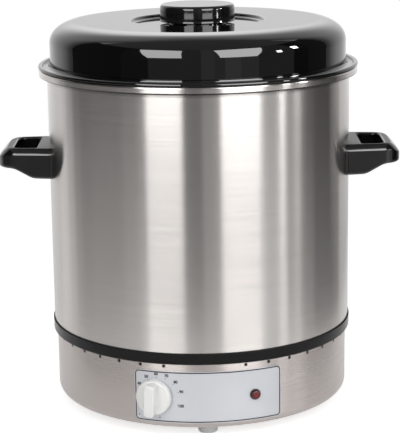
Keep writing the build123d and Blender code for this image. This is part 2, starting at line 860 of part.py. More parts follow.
def thermostat_shaft():
    knob_end = dial_gap + dial_bore_depth - thread_clearance
    flat_part = extrude(shaft_section(0), knob_end)
    round_part = cylinder(shaft_radius, -shaft_inside, 0)
    return dial_place() * Rot(0, 0, -dial_rest_turn) * (round_part + flat_part)


def thermostat_place():
    """On the skirt's inner wall at the dial's axis."""
    return out_of_wall(dial_angle, skirt_inner, dial_level)


def thermostat_body():
    front = -thermostat_stand_off
    back = front - thermostat_depth
    half = thermostat_screw_spacing / 2
    body = Pos(0, 0, (front + back) / 2) * Box(thermostat_width, thermostat_height, thermostat_depth)
    body += cylinder(thermostat_collar_radius, front, beyond)
    for side in (-half, half):
        body += Pos(0, side, 0) * cylinder(thermostat_boss_radius, front, beyond)
    tab = Box(tab_width, tab_thickness, tab_length)
    for across, up in thermostat_tabs():
        body += Pos(across, up, back - tab_length / 2) * tab
    shaft_end = label_radius - skirt_inner - shaft_inside
    body -= cylinder(shaft_radius + shaft_clearance, shaft_end - shaft_clearance, beyond)
    tapped = cylinder(medium_thread + thread_clearance, -thermostat_screw_length, beyond)
    for side in (-half, half):
        body -= Pos(0, side, 0) * tapped
    return (thermostat_place() * body) & cylinder(skirt_inner, skirt_bottom, skirt_top)


def thermostat_tabs():
    """Across and up from the shaft: the live tab, the switched tab and the lamp's tab."""
    return [(-tab_side, -tab_drop), (tab_side, -tab_drop), (tab_side, lamp_tab_rise)]


def thermostat_screws():
    body = screw(medium_thread, medium_head_radius, medium_head_height, thermostat_screw_length)
    half = thermostat_screw_spacing / 2
    return pieces([dial_place() * Pos(0, side, 0) * body for side in (-half, half)])


def bulb_place():
    """The sensor bulb's middle: its own Y lies along the bulb and its own Z points up."""
    level = pot_bottom - bulb_radius - clip_clearance
    turn = math.radians(bulb_angle)
    outward = Vector(math.sin(turn), -math.cos(turn), 0)
    return Plane(outward * bulb_circle + Vector(0, 0, level), x_dir=outward, z_dir=(0, 0, 1)).location


def sensor_bulb():
    return bulb_place() * Rot(90, 0, 0) * cylinder(bulb_radius, -bulb_length / 2, bulb_length / 2)


def bulb_clip():
    inner = bulb_radius + clip_clearance
    outer = inner + clip_sheet
    rise = bulb_radius + clip_clearance
    strap = Circle(outer) + Pos(0, rise / 2) * Rectangle(2 * outer, rise)
    strap += Pos(0, rise - clip_sheet / 2) * Rectangle(2 * (outer + clip_tab), clip_sheet)
    strap -= Circle(inner) + Pos(0, rise / 2) * Rectangle(2 * inner, rise)
    flat = Pos(0, rise + outer) * Rectangle(4 * outer, 2 * outer)
    return bulb_place() * Rot(90, 0, 0) * extrude(strap - flat, clip_width / 2, both=True)


def capillary_points():
    """From the back of the thermostat up through the shield and along to the bulb's end."""
    place = thermostat_place()
    back = -thermostat_stand_off - thermostat_depth
    start = along(place, 0, capillary_rise, back)
    riser = along(place, 0, capillary_rise, back - capillary_run)
    end = (bulb_place() * Pos(0, -bulb_length / 2, 0)).position
    before_end = (bulb_place() * Pos(0, -bulb_length / 2 - capillary_run, 0)).position
    return [start, riser, Vector(riser.X, riser.Y, end.Z), before_end, end]


def capillary_tube():
    return wire_along(capillary_points(), capillary_radius, capillary_bend)


def lamp_place():
    """On the label at the lamp's axis."""
    return out_of_wall(lamp_angle, label_radius, lamp_level)


def pilot_lamp_holder():
    holder = cylinder(lamp_bezel_radius, 0, lamp_bezel_height)
    holder += cylinder(lamp_barrel_radius, -lamp_barrel_length, 0)
    holder -= cylinder(lamp_lens_radius, lamp_bezel_height - lamp_lens_sink, beyond)
    inner = lamp_barrel_radius - lamp_barrel_wall
    return lamp_place() * (holder - cylinder(inner, -lamp_barrel_length + lamp_barrel_wall, beyond))


def pilot_lamp_lens():
    seat = lamp_bezel_height - lamp_lens_sink
    lens = cylinder(lamp_lens_radius, seat, seat + lamp_lens_height)
    lens = fillet(lens.edges().group_by(Axis.Z)[-1], lamp_lens_edge)
    return lamp_place() * lens


def pilot_lamp_bulb():
    low = -lamp_barrel_length + lamp_barrel_wall
    bulb = cylinder(lamp_bulb_radius, low, low + lamp_bulb_length)
    bulb = fillet(bulb.edges().group_by(Axis.Z)[-1], lamp_bulb_edge)
    return lamp_place() * bulb


def pilot_lamp_nut():
    wall = label_radius - skirt_inner
    body = nut(lamp_nut_width, lamp_barrel_radius + thread_clearance, -wall - lamp_nut_height, beyond)
    return (lamp_place() * body) & cylinder(skirt_inner, skirt_bottom, skirt_top)


# Heater

def heat_spreader():
    plate = cylinder(spreader_radius, spreader_bottom, pot_bottom)
    tap_top = spreader_bottom + cutout_screw_length
    tapped = cylinder(small_thread + thread_clearance, spreader_bottom - beyond, tap_top)
    return plate - [place * tapped for place in cutout_screw_places()]


def element_leg_places():
    gap = element_gap_half_angle
    return [around(180 + side * gap, element_circle) for side in (-1, 1)]


def heating_element():
    low = spreader_bottom - element_height
    middle = Pos(element_circle, spreader_bottom - element_height / 2)
    section = middle * Rectangle(element_width, element_height)
    section = fillet(section.vertices().group_by(Axis.Y)[0], element_edge)
    ring = revolve(Plane.XZ * section, Axis.Z, 360 - 2 * element_gap_half_angle)
    ring = Rot(0, 0, 90 + element_gap_half_angle) * ring
    for place in element_leg_places():
        ring += place * cylinder(element_leg_radius, low - element_leg_length, low + element_height / 2)
    return ring


def element_pin_tips():
    leg_bottom = spreader_bottom - element_height - element_leg_length
    level = leg_bottom - terminal_bush_length - terminal_pin_length
    return [(place * Pos(0, 0, level)).position for place in element_leg_places()]


def element_terminals():
    top = spreader_bottom - element_height - element_leg_length
    bush_bottom = top - terminal_bush_length
    body = cylinder(element_leg_radius, bush_bottom, top)
    body += cylinder(terminal_pin_radius, bush_bottom - terminal_pin_length, bush_bottom)
    return pieces([place * body for place in element_leg_places()])


def cutout_screw_places():
    half = cutout_screw_spacing / 2
    return [Pos(side * half, cutout_back, 0) for side in (-1, 1)]


def thermal_cutout():
    flange_bottom = spreader_bottom - cutout_flange_thickness
    body_bottom = flange_bottom - cutout_height
    middle = Pos(0, cutout_back, 0)
    flange_level = Pos(0, 0, spreader_bottom - cutout_flange_thickness / 2)
    body = flange_level * Box(cutout_flange_length, cutout_flange_width, cutout_flange_thickness)
    body += cylinder(cutout_radius, body_bottom, flange_bottom)
    tab = Box(tab_thickness, tab_width, tab_length)
    for side in (-cutout_tab_side, cutout_tab_side):
        body += Pos(side, 0, body_bottom - tab_length / 2) * tab
    body = middle * body
    hole = cylinder(small_thread + hole_clearance, flange_bottom - beyond, spreader_bottom + beyond)
    return body - [place * hole for place in cutout_screw_places()]


def cutout_tab_tips():
    level = spreader_bottom - cutout_flange_thickness - cutout_height - tab_length
    return [Vector(side, cutout_back, level) for side in (-cutout_tab_side, cutout_tab_side)]


def cutout_screws():
    seat = spreader_bottom - cutout_flange_thickness
    length = cutout_flange_thickness + cutout_screw_length - thread_clearance
    body = Rot(180, 0, 0) * screw(small_thread, small_head_radius, small_head_height, length)
    return pieces([place * Pos(0, 0, seat) * body for place in cutout_screw_places()])


# Wiring

def pole_places():
    """The front mouth of each pole, from the left: live, neutral, lamp and earth."""
    left = -block_pole_pitch * (block_poles - 1) / 2
    mouth = block_back - block_depth / 2
    level = plate_top + block_bore_rise
    return [Vector(left + number * block_pole_pitch, mouth, level) for number in range(block_poles)]


def pole_screw_places():
    """Two clamping screws on top of each pole."""
    reach = block_depth / 4
    rows = (block_back - reach, block_back + reach)
    return [Pos(pole.X, row, plate_top + block_height) for pole in pole_places() for row in rows]


def terminal_block():
    body = Pos(0, block_back, plate_top + block_height / 2) * Box(block_width, block_depth, block_height)
    well = cylinder(block_screw_radius, -block_height / 4, beyond)
    body -= [place * well for place in pole_screw_places()]
    fixing = cylinder(small_thread + hole_clearance, plate_bottom, plate_top + block_height + beyond)
    head_room = cylinder(
        small_head_radius + hole_clearance, plate_top + block_height / 2, plate_top + block_height + beyond
    )
    for place in block_fixing_places():
        body -= place * fixing
        body -= place * head_room
    return body


def terminal_screws():
    body = cylinder(block_screw_radius - thread_clearance, -block_height / 4, -slot_depth)
    body -= Pos(0, 0, -slot_depth) * Box(2 * block_screw_radius, slot_width, 2 * slot_depth)
    return pieces([place * body for place in pole_screw_places()])


def terminal_block_screws():
    seat = plate_top + block_height / 2
    length = seat - plate_bottom
    body = screw(small_thread, small_head_radius, small_head_height, length)
    return pieces([place * Pos(0, 0, seat) * body for place in block_fixing_places()])


def tab_tip(number):
    across, up = thermostat_tabs()[number]
    return along(thermostat_place(), across, up, -thermostat_stand_off - thermostat_depth - tab_length)


def before_tab(number):
    """A point straight behind a thermostat tab, where its wire starts to turn."""
    across, up = thermostat_tabs()[number]
    back = -thermostat_stand_off - thermostat_depth - tab_length - wire_straight
    return along(thermostat_place(), across, up, back)


def live_wire():
    pole = pole_places()[0]
    points = [
        pole,
        pole - Vector(0, wire_straight, 0),
        Vector(-live_wire_left, 0, plate_top + live_wire_rise),
        before_tab(0),
        tab_tip(0),
    ]
    return wire_along(points, wire_radius, wire_bend)


def switched_wire():
    pin = element_pin_tips()[1]
    level = plate_top + switched_wire_rise
    points = [
        tab_tip(1),
        before_tab(1),
        Vector(pin.X, cutout_back, level),
        Vector(pin.X, pin.Y, level + switched_wire_climb),
        pin,
    ]
    return wire_along(points, wire_radius, wire_bend)


def neutral_wire():
    pole = pole_places()[1]
    tip = cutout_tab_tips()[0]
    points = [
        pole,
        pole - Vector(0, wire_straight, 0),
        Vector(tip.X, tip.Y, plate_top + neutral_wire_rise),
        tip,
    ]
    return wire_along(points, wire_radius, wire_bend)


def cutout_wire():
    tip = cutout_tab_tips()[1]
    pin = element_pin_tips()[0]
    points = [
        tip,
        Vector(tip.X, tip.Y, tip.Z - cutout_wire_drop),
        Vector(pin.X, pin.Y, pin.Z - element_wire_drop),
        pin,
    ]
    return wire_along(points, wire_radius, wire_bend)


def lamp_tail(up, back):
    return along(lamp_place(), 0, up, -lamp_barrel_length - back)


def lamp_wires():
    spread = lamp_barrel_radius / 2
    pole = pole_places()[2]
    to_thermostat = [
        tab_tip(2),
        before_tab(2),
        lamp_tail(spread, wire_straight),
        lamp_tail(spread, 0),
    ]
    to_block = [
        lamp_tail(-spread, 0),
        lamp_tail(-spread, wire_straight),
        Vector(lamp_wire_right, 0, plate_top + lamp_wire_rise),
        pole - Vector(0, wire_straight, 0),
        pole,
    ]
    return pieces([wire_along(points, wire_radius, wire_bend) for points in (to_thermostat, to_block)])


def earth_lug():
    top = plate_top + lug_thickness
    body = cylinder(lug_radius, plate_top, top)
    tongue = Box(lug_tongue_length + lug_barrel_radius, lug_tongue_width, lug_thickness)
    body += Pos(-(lug_tongue_length + lug_barrel_radius) / 2, 0, plate_top + lug_thickness / 2) * tongue
    barrel = cylinder(lug_barrel_radius, lug_tongue_length, lug_tongue_length + lug_barrel_length)
    body += Pos(0, 0, plate_top + lug_barrel_radius) * Rot(0, -90, 0) * barrel
    body -= cylinder(earth_stud_radius + hole_clearance, plate_top - beyond, top + beyond)
    return Pos(earth_right, earth_back, 0) * body


def earth_wire():
    pole = pole_places()[3]
    lug_end = earth_right - lug_tongue_length - lug_barrel_length
    end = Vector(lug_end, earth_back, plate_top + lug_barrel_radius)
    points = [
        pole,
        pole - Vector(0, earth_wire_straight, 0),
        end - Vector(earth_wire_end, 0, 0),
        end,
    ]
    return wire_along(points, wire_radius, earth_wire_bend)


def earth_stud():
    stud = cylinder(earth_stud_radius, plate_top, plate_top + earth_stud_height)
    return Pos(earth_right, earth_back, 0) * stud


def earth_nut():
    low = plate_top + lug_thickness
    body = nut(earth_nut_width, earth_stud_radius + thread_clearance, low, low + earth_nut_height)
    return Pos(earth_right, earth_back, 0) * body


# Cable gland

def gland_place():
    """On the outside of the skirt at the back."""
    return out_of_wall(180, skirt_radius, gland_level)


def cable_gland_body():
    top = gland_flange_height + gland_thread_height
    body = cylinder(gland_barrel_radius, -gland_barrel_length, top)
    flange = hexagon(gland_flange_width, -beyond, gland_flange_height)
    flange = gland_place() * flange - cylinder(skirt_radius, skirt_bottom, skirt_top)
    body -= cylinder(gland_inner_bore, -gland_barrel_length - beyond, top + beyond)
    body -= cylinder(gland_seat_radius, -gland_seat_depth, top + beyond)
    hole = gland_place() * cylinder(gland_seat_radius, -gland_seat_depth, top + beyond)
    return gland_place() * body + (flange - hole)


def cable_gland_seal():
    top = gland_flange_height + gland_thread_height
    outer = gland_seat_radius - gland_seal_clearance
    return gland_place() * tube(outer, gland_inner_bore, -gland_seat_depth, top)


def cable_gland_cap():
    low = gland_flange_height
    thread_top = low + gland_thread_height
    top = thread_top + gland_cap_top
    cap = cylinder(gland_cap_radius, low, top)
    cap = fillet(cap.edges().group_by(Axis.Z)[-1], gland_cap_edge)
    cap -= cylinder(gland_barrel_radius + thread_clearance, low - beyond, thread_top)
    return gland_place() * (cap - cylinder(gland_bore, low, top + beyond))


def cable_gland_locknut():
    bore = gland_barrel_radius + thread_clearance
    body = nut(gland_flange_width, bore, -skirt_wall - gland_locknut_height, beyond)
    return (gland_place() * body) & cylinder(skirt_inner, skirt_bottom, skirt_top)


nodes = {
    "pot_shell": pot_shell(),
    "right_handle": handle(handle_angles[0]),
    "left_handle": handle(handle_angles[1]),
    "handle_inserts": handle_inserts(),
    "handle_sealing_washers": handle_sealing_washers(),
    "handle_screws": handle_screws(),
    "lid_shell": lid_shell(),
    "lid_knob": lid_knob(),
    "lid_knob_insert": lid_knob_insert(),
    "lid_knob_washer": lid_knob_washer(),
    "lid_knob_screw": lid_knob_screw(),
    "joint_band": joint_band(),
    "base_skirt": base_skirt(),
    "base_plate": base_plate(),
    "foot_screws": foot_screws(),
    "foot_nuts": foot_nuts(),
    "tie_studs": tie_studs(),
    "tie_washers": tie_washers(),
    "tie_nuts": tie_nuts(),
    "tie_spacers": tie_spacers(),
    "heat_shield": heat_shield(),
    "shield_nuts": shield_nuts(),
    "control_label": control_label(),
    "dial_knob": dial_knob(),
    "thermostat_shaft": thermostat_shaft(),
    "thermostat_body": thermostat_body(),
    "thermostat_screws": thermostat_screws(),
    "sensor_bulb": sensor_bulb(),
    "bulb_clip": bulb_clip(),
    "capillary_tube": capillary_tube(),
    "pilot_lamp_holder": pilot_lamp_holder(),
    "pilot_lamp_lens": pilot_lamp_lens(),
    "pilot_lamp_bulb": pilot_lamp_bulb(),
    "pilot_lamp_nut": pilot_lamp_nut(),
    "heat_spreader": heat_spreader(),
    "heating_element": heating_element(),
    "element_terminals": element_terminals(),
    "thermal_cutout": thermal_cutout(),
    "cutout_screws": cutout_screws(),
    "terminal_block": terminal_block(),
    "terminal_screws": terminal_screws(),
    "terminal_block_screws": terminal_block_screws(),
    "live_wire": live_wire(),
    "switched_wire": switched_wire(),
    "neutral_wire": neutral_wire(),
    "cutout_wire": cutout_wire(),
    "lamp_wires": lamp_wires(),
    "earth_wire": earth_wire(),
    "earth_lug": earth_lug(),
    "earth_stud": earth_stud(),
    "earth_nut": earth_nut(),
    "cable_gland_body": cable_gland_body(),
    "cable_gland_seal": cable_gland_seal(),
    "cable_gland_cap": cable_gland_cap(),
    "cable_gland_locknut": cable_gland_locknut(),
}
for name, angle in foot_angles.items():
    nodes[name] = around(angle, foot_circle) * foot()

os.makedirs("parts", exist_ok=True)
for name, shape in nodes.items():
    export_step(shape, f"parts/{name}.step")
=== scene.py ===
import json
import math

import bmesh
import bpy
from mathutils import Matrix, Vector


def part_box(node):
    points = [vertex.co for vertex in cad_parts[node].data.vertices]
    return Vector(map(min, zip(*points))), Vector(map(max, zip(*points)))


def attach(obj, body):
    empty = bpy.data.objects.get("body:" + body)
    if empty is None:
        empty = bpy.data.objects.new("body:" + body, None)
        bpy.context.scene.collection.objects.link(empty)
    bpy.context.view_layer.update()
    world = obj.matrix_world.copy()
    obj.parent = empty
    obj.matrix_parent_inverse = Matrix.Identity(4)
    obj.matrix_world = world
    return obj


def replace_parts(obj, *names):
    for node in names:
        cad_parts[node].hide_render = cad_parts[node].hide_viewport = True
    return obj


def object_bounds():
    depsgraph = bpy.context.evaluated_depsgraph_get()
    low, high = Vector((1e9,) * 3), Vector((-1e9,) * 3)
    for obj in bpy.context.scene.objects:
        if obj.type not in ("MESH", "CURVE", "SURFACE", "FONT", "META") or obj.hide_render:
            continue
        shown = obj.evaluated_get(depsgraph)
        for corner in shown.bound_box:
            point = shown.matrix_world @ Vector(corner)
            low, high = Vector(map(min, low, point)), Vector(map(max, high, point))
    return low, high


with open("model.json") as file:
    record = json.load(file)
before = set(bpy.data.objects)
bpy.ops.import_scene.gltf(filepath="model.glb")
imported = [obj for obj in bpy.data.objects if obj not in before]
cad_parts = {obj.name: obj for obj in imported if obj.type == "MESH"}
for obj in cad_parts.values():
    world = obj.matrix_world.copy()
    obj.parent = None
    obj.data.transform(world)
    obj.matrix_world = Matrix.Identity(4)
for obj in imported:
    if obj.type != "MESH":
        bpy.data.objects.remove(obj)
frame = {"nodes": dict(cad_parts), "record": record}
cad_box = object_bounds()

# Wax melting pot: finishes, finer sheets and handles, panel print, studio and camera. The pot's axis
# is Z and the control panel faces -Y. Angles round the pot are from the front, growing towards +X.
# Lengths are in metres, and in millimetres where a heading says so.

mm = 0.001

# Camera
picture_long_side = 433.0  # pixels
focal_length_pixels = 1607.0
sensor_size = 36.0  # millimetres along the picture's long side
camera_distance = 1857 * mm  # level, from the pot's axis
camera_height = 643 * mm
camera_azimuth = math.radians(-2.35)
camera_pitch = math.radians(12.96)
camera_roll = math.radians(-0.78)

# Pot's rim
rim_fold_height = 7.8 * mm  # from the rim's top to the end of its fold
# Painted shade under the rim's fold: level from the end of its fold, and the share of the steel's colour
rim_painted_shade = ((-6 * mm, 1.0), (-2.2 * mm, 0.6), (-1.7 * mm, 0.06), (0.6 * mm, 0.06), (1.1 * mm, 1.0))

# Joint band's upper edge: level from the band's top, and how much rougher it is
band_edge = ((-1.6 * mm, 0.0), (-0.9 * mm, 0.5))

# Skirt and its vent holes
skirt_radius = 172 * mm
vent_count = 37
vent_first = math.radians(14.0)
vent_pitch = math.radians(9.15)
vent_drop = 6.7 * mm  # from the skirt's top
# Painted shade in and round a hole: distance from its middle, and the share of the steel's colour
vent_painted_shade = ((1.4 * mm, 0.03), (1.65 * mm, 0.04), (2.05 * mm, 1.0))


def linked(obj):
    bpy.context.scene.collection.objects.link(obj)
    return obj


# Materials

fine_line_share = 0.75  # of all brush lines, the rest being broad ones
line_roughness = 0.01
lens_rings = 7


class Nodes:
    """The shader nodes of a material or of the surroundings."""

    def __init__(self, owner):
        owner.use_nodes = True
        self.nodes = owner.node_tree.nodes
        self.links = owner.node_tree.links

    def add(self, kind, **settings):
        node = self.nodes.new(kind)
        for name, value in settings.items():
            setattr(node, name, value)
        return node

    def place(self):
        """Where a point is, in the object's own metres."""
        return self.add("ShaderNodeTexCoord").outputs["Object"]

    def split(self, vector):
        """The X, Y and Z of a vector."""
        node = self.add("ShaderNodeSeparateXYZ")
        self.links.new(vector, node.inputs["Vector"])
        return tuple(node.outputs)

    def worked(self, operation, *values):
        """What a math node makes of its values, which are sockets or numbers."""
        node = self.add("ShaderNodeMath", operation=operation)
        for value, socket in zip(values, node.inputs):
            if isinstance(value, (int, float)):
                socket.default_value = value
            else:
                self.links.new(value, socket)
        return node.outputs["Value"]

    def ranged(self, value, low, high, start=0.3, end=0.7):
        """The value, stretched from start..end to low..high. Most noise lies between 0.3 and 0.7."""
        node = self.add("ShaderNodeMapRange")
        self.links.new(value, node.inputs["Value"])
        for name, number in (("From Min", start), ("From Max", end), ("To Min", low), ("To Max", high)):
            node.inputs[name].default_value = number
        return node.outputs["Result"]

    def ramp(self, value, stops):
        """A colour that follows (value, colour) stops between 0 and 1."""
        node = self.add("ShaderNodeValToRGB")
        elements = node.color_ramp.elements
        while len(elements) < len(stops):
            elements.new(1.0)
        for element, (position, colour) in zip(elements, stops):
            element.position = position
            element.color = (*colour, 1)
        self.links.new(value, node.inputs["Fac"])
        return node.outputs["Color"]

    def along(self, value, stops):
        """A number that follows (value, number) stops, with straight lines between them."""
        first, last = stops[0][0], stops[-1][0]
        share = self.ranged(value, 0, 1, start=first, end=last)
        greys = [((place - first) / (last - first), (number, number, number)) for place, number in stops]
        return self.ramp(share, greys)

    def seen_directly(self):
        """Two numbers that are 1 for camera rays, and for glossy and transmission rays."""
        path = self.add("ShaderNodeLightPath").outputs
        reflected = self.worked("MAXIMUM", path["Is Glossy Ray"], path["Is Transmission Ray"])
        return path["Is Camera Ray"], reflected


class Finish(Nodes):
    """A material built round one Principled shader."""

    def __init__(self, name, colour, roughness, metallic=0.0, ior=1.5):
        self.name = name
        self.material = bpy.data.materials.new(name)
        super().__init__(self.material)
        self.shader = self.nodes["Principled BSDF"]
        self.set("Base Color", (*colour, 1))
        self.set("Roughness", roughness)
        self.set("Metallic", metallic)
        self.set("IOR", ior)

    def set(self, socket, value):
        self.shader.inputs[socket].default_value = value

    def feed(self, socket, value):
        self.links.new(value, self.shader.inputs[socket])

    def fed(self, socket):
        """What a socket of the shader is fed so far."""
        return self.shader.inputs[socket].links[0].from_socket

    def noise(self, scale, detail=2.0, roughness=0.5, stretch=(1, 1, 1)):
        """Noise of so many cells a metre; stretch gives each axis its share of them."""
        mapping = self.add("ShaderNodeMapping")
        mapping.inputs["Scale"].default_value = [scale * share for share in stretch]
        noise = self.add("ShaderNodeTexNoise")
        noise.inputs["Scale"].default_value = 1.0
        noise.inputs["Detail"].default_value = detail
        noise.inputs["Roughness"].default_value = roughness
        self.links.new(self.place(), mapping.inputs["Vector"])
        self.links.new(mapping.outputs["Vector"], noise.inputs["Vector"])
        return noise.outputs["Fac"]

    def colours(self, value, *stops):
        self.feed("Base Color", self.ramp(value, stops))

    def darken(self, amount):
        """Multiplies the colour that is fed so far by an amount."""
        node = self.add("ShaderNodeVectorMath", operation="SCALE")
        self.links.new(self.fed("Base Color"), node.inputs["Vector"])
        self.links.new(amount, node.inputs["Scale"])
        self.feed("Base Color", node.outputs["Vector"])

    def rough(self, first, second):
        """Makes the roughness the sum of two values."""
        self.feed("Roughness", self.worked("ADD", first, second))

    def level(self):
        """Height above the table."""
        return self.split(self.place())[2]

    def facing_up(self):
        """1 on faces that look up, 0 on upright ones."""
        return self.split(self.add("ShaderNodeNewGeometry").outputs["Normal"])[2]

    def bump(self, value, depth, strength):
        node = self.add("ShaderNodeBump")
        node.inputs["Strength"].default_value = strength
        node.inputs["Distance"].default_value = depth
        self.links.new(value, node.inputs["Height"])
        self.feed("Normal", node.outputs["Normal"])

    def brushed_round(self, amount):
        """Stretches reflections across lines that run round the pot's axis."""
        tangent = self.add("ShaderNodeTangent", direction_type="RADIAL", axis="Z")
        self.feed("Tangent", tangent.outputs["Tangent"])
        self.set("Anisotropic", amount)
        self.set("Anisotropic Rotation", 0.25)

    def translucent(self, weight, reach):
        """Lets a share of the light in, as many millimetres deep for each of the three colours."""
        self.set("Subsurface Weight", weight)
        self.set("Subsurface Radius", reach)
        self.set("Subsurface Scale", 1 * mm)


def scaled(colour, factor):
    return tuple(channel * factor for channel in colour)


def from_level(level, stops):
    """Stops with their levels counted from another one."""
    return [(level + rise, number) for rise, number in stops]


def brushed_steel(name, colour, roughness, stretch, cloud):
    """Stainless sheet with brush lines round the axis and faint clouds."""
    finish = Finish(name, colour, roughness, metallic=1.0)
    finish.brushed_round(stretch)
    fine_lines = finish.noise(2600, detail=3, stretch=(0.004, 0.004, 1))
    broad_lines = finish.noise(420, detail=4, roughness=0.7, stretch=(0.012, 0.012, 1))
    clouds = finish.noise(9, detail=3)
    lines = finish.worked(
        "ADD",
        finish.ranged(fine_lines, 0, fine_line_share),
        finish.ranged(broad_lines, 0, 1 - fine_line_share),
    )
    finish.colours(lines, (0.1, scaled(colour, 0.95)), (0.9, scaled(colour, 1.04)))
    finish.rough(
        finish.ranged(lines, roughness - line_roughness, roughness + line_roughness, start=0.2, end=0.8),
        finish.ranged(clouds, -cloud, cloud),
    )
    finish.bump(fine_lines, 0.004 * mm, strength=0.17)
    return finish


def pot_steel():
    """The pot's steel, with a painted line of shade under the rim's fold."""
    finish = brushed_steel("pot_steel", (0.568, 0.54, 0.521), 0.21, stretch=0.96, cloud=0.01)
    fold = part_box("pot_shell")[1].z - rim_fold_height
    # Painted shade: the steel's colour is darkened in a thin band under and on the rim's fold
    finish.darken(finish.along(finish.level(), from_level(fold, rim_painted_shade)))
    return finish


def from_vents(finish):
    """Distance on the skirt from the middle of the nearest vent hole."""
    worked = finish.worked
    x, y, z = finish.split(finish.place())
    angle = worked("ARCTAN2", x, worked("MULTIPLY", y, -1.0))
    past_first = worked("SUBTRACT", angle, vent_first - vent_pitch / 2)
    count = worked("DIVIDE", worked("FLOORED_MODULO", past_first, math.tau), vent_pitch)
    nearest = worked("MINIMUM", worked("FLOOR", count), vent_count - 1)
    beside = worked("SUBTRACT", worked("SUBTRACT", count, nearest), 0.5)
    across = worked("MULTIPLY", beside, vent_pitch * skirt_radius)
    up = worked("SUBTRACT", z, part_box("base_skirt")[1].z - vent_drop)
    return worked("SQRT", worked("ADD", worked("MULTIPLY", across, across), worked("MULTIPLY", up, up)))


def skirt_steel():
    """The skirt's steel, with painted shade at the edges of its vent holes."""
    # Painted shade: this colour is darker than the pot's steel, standing in for the shadowed floor that
    # the skirt reflects
    finish = brushed_steel("skirt_steel", (0.478, 0.437, 0.42), 0.26, stretch=0.9, cloud=0.02)
    # Painted shade: the steel's colour goes nearly black in and round each vent hole
    finish.darken(finish.along(from_vents(finish), vent_painted_shade))
    return finish


def lid_enamel():
    """Fired gloss enamel: a deep black with a faint ripple."""
    finish = Finish("lid_enamel", (0.0013, 0.0013, 0.0016), 0.03, ior=1.67)
    ripple = finish.noise(160, detail=1)
    haze = finish.noise(14, detail=3)
    finish.colours(haze, (0.3, (0.001, 0.001, 0.0012)), (0.7, (0.0016, 0.0016, 0.002)))
    finish.feed("Roughness", finish.ranged(haze, 0.02, 0.045))
    finish.bump(ripple, 0.01 * mm, strength=0.12)
    return finish


def moulded(name, colour, roughness, ior=1.5, grain=900, depth=0.01 * mm, variation=0.15):
    """Moulded plastic or rubber: fine grain, a slightly uneven gloss and colour."""
    finish = Finish(name, colour, roughness, ior=ior)
    texture = finish.noise(grain)
    patches = finish.noise(35, detail=3)
    finish.colours(patches, (0.3, scaled(colour, 1 - variation)), (0.7, scaled(colour, 1 + variation)))
    finish.rough(
        finish.ranged(texture, -0.03, 0.03),
        finish.ranged(patches, roughness - 0.03, roughness + 0.03),
    )
    finish.bump(texture, depth, strength=0.3)
    return finish


def band_black():
    """Pressed rubber band: fine ribs round it and a dull upper edge."""
    finish = moulded("band_black", (0.003, 0.003, 0.003), 0.16, ior=1.28, grain=1300)
    ribs = finish.noise(900, stretch=(0.01, 0.01, 1))
    edge = finish.along(finish.level(), from_level(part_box("joint_band")[1].z, band_edge))
    finish.rough(finish.fed("Roughness"), edge)
    finish.bump(ribs, 0.03 * mm, strength=0.6)
    return finish


def handle_black():
    """Moulded handle: glossy sides and a duller, grained top."""
    finish = moulded("handle_black", (0.003, 0.003, 0.004), 0.11, ior=1.66, grain=1100, depth=0.006 * mm)
    dull_top = finish.ranged(finish.facing_up(), 0, 0.45, start=0.85, end=0.98)
    finish.rough(finish.fed("Roughness"), dull_top)
    return finish


def metal(name, colour, roughness, grain=600):
    """Plain sheet or turned metal with a fine grain and dull patches."""
    finish = Finish(name, colour, roughness, metallic=1.0)
    texture = finish.noise(grain, detail=3)
    patches = finish.noise(60, detail=3)
    finish.colours(patches, (0.3, scaled(colour, 0.88)), (0.7, scaled(colour, 1.08)))
    finish.rough(
        finish.ranged(texture, -0.04, 0.04),
        finish.ranged(patches, roughness - 0.05, roughness + 0.05),
    )
    finish.bump(texture, 0.006 * mm, strength=0.3)
    return finish


def label_sheet():
    """Satin silver foil with a very fine grain."""
    finish = Finish("label_sheet", (0.55, 0.56, 0.59), 0.42, metallic=0.25)
    grain = finish.noise(2200)
    patches = finish.noise(22)
    mottle = finish.worked("ADD", finish.ranged(grain, 0, 0.5), finish.ranged(patches, 0, 0.5))
    finish.colours(mottle, (0.15, (0.525, 0.535, 0.565)), (0.85, (0.575, 0.585, 0.615)))
    finish.feed("Roughness", finish.ranged(grain, 0.36, 0.48))
    finish.bump(grain, 0.004 * mm, strength=0.2)
    return finish


def dial_white():
    finish = moulded("dial_white", (0.82, 0.82, 0.81), 0.30, grain=700, variation=0.012)
    finish.translucent(0.12, (2.0, 1.8, 1.6))
    return finish


def foot_pale():
    finish = moulded("foot_pale", (0.62, 0.62, 0.62), 0.34, grain=500, variation=0.03)
    finish.translucent(0.3, (3.0, 3.0, 3.0))
    return finish


def lamp_red():
    """Red lens: painted light in the middle and painted shade towards its rim, with the rings of a
    pressed lens.
    """
    finish = Finish("lamp_red", (0.30, 0.012, 0.014), 0.12)
    low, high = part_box("pilot_lamp_lens")
    offset = finish.add("ShaderNodeVectorMath", operation="DISTANCE")
    offset.inputs[1].default_value = (low + high) / 2
    finish.links.new(finish.place(), offset.inputs[0])
    lens_radius = (high.z - low.z) / 2
    across = finish.ranged(offset.outputs["Value"], 0, 1, start=0, end=lens_radius)
    # Painted light and shade: the lens's colour is brightest in the middle and falls to near black at its
    # rim
    bright, deep, rim = (0.22, 0.010, 0.012), (0.13, 0.004, 0.005), (0.02, 0.001, 0.002)
    finish.colours(across, (0.25, bright), (0.75, deep), (1.0, rim))
    rings = finish.worked("SINE", finish.worked("MULTIPLY", across, lens_rings * math.tau))
    finish.bump(rings, 0.05 * mm, strength=0.25)
    return finish


def lamp_glass():
    finish = Finish("lamp_glass", (0.92, 0.88, 0.84), 0.06)
    finish.set("Transmission Weight", 0.9)
    finish.feed("Roughness", finish.ranged(finish.noise(300), 0.03, 0.1))
    return finish


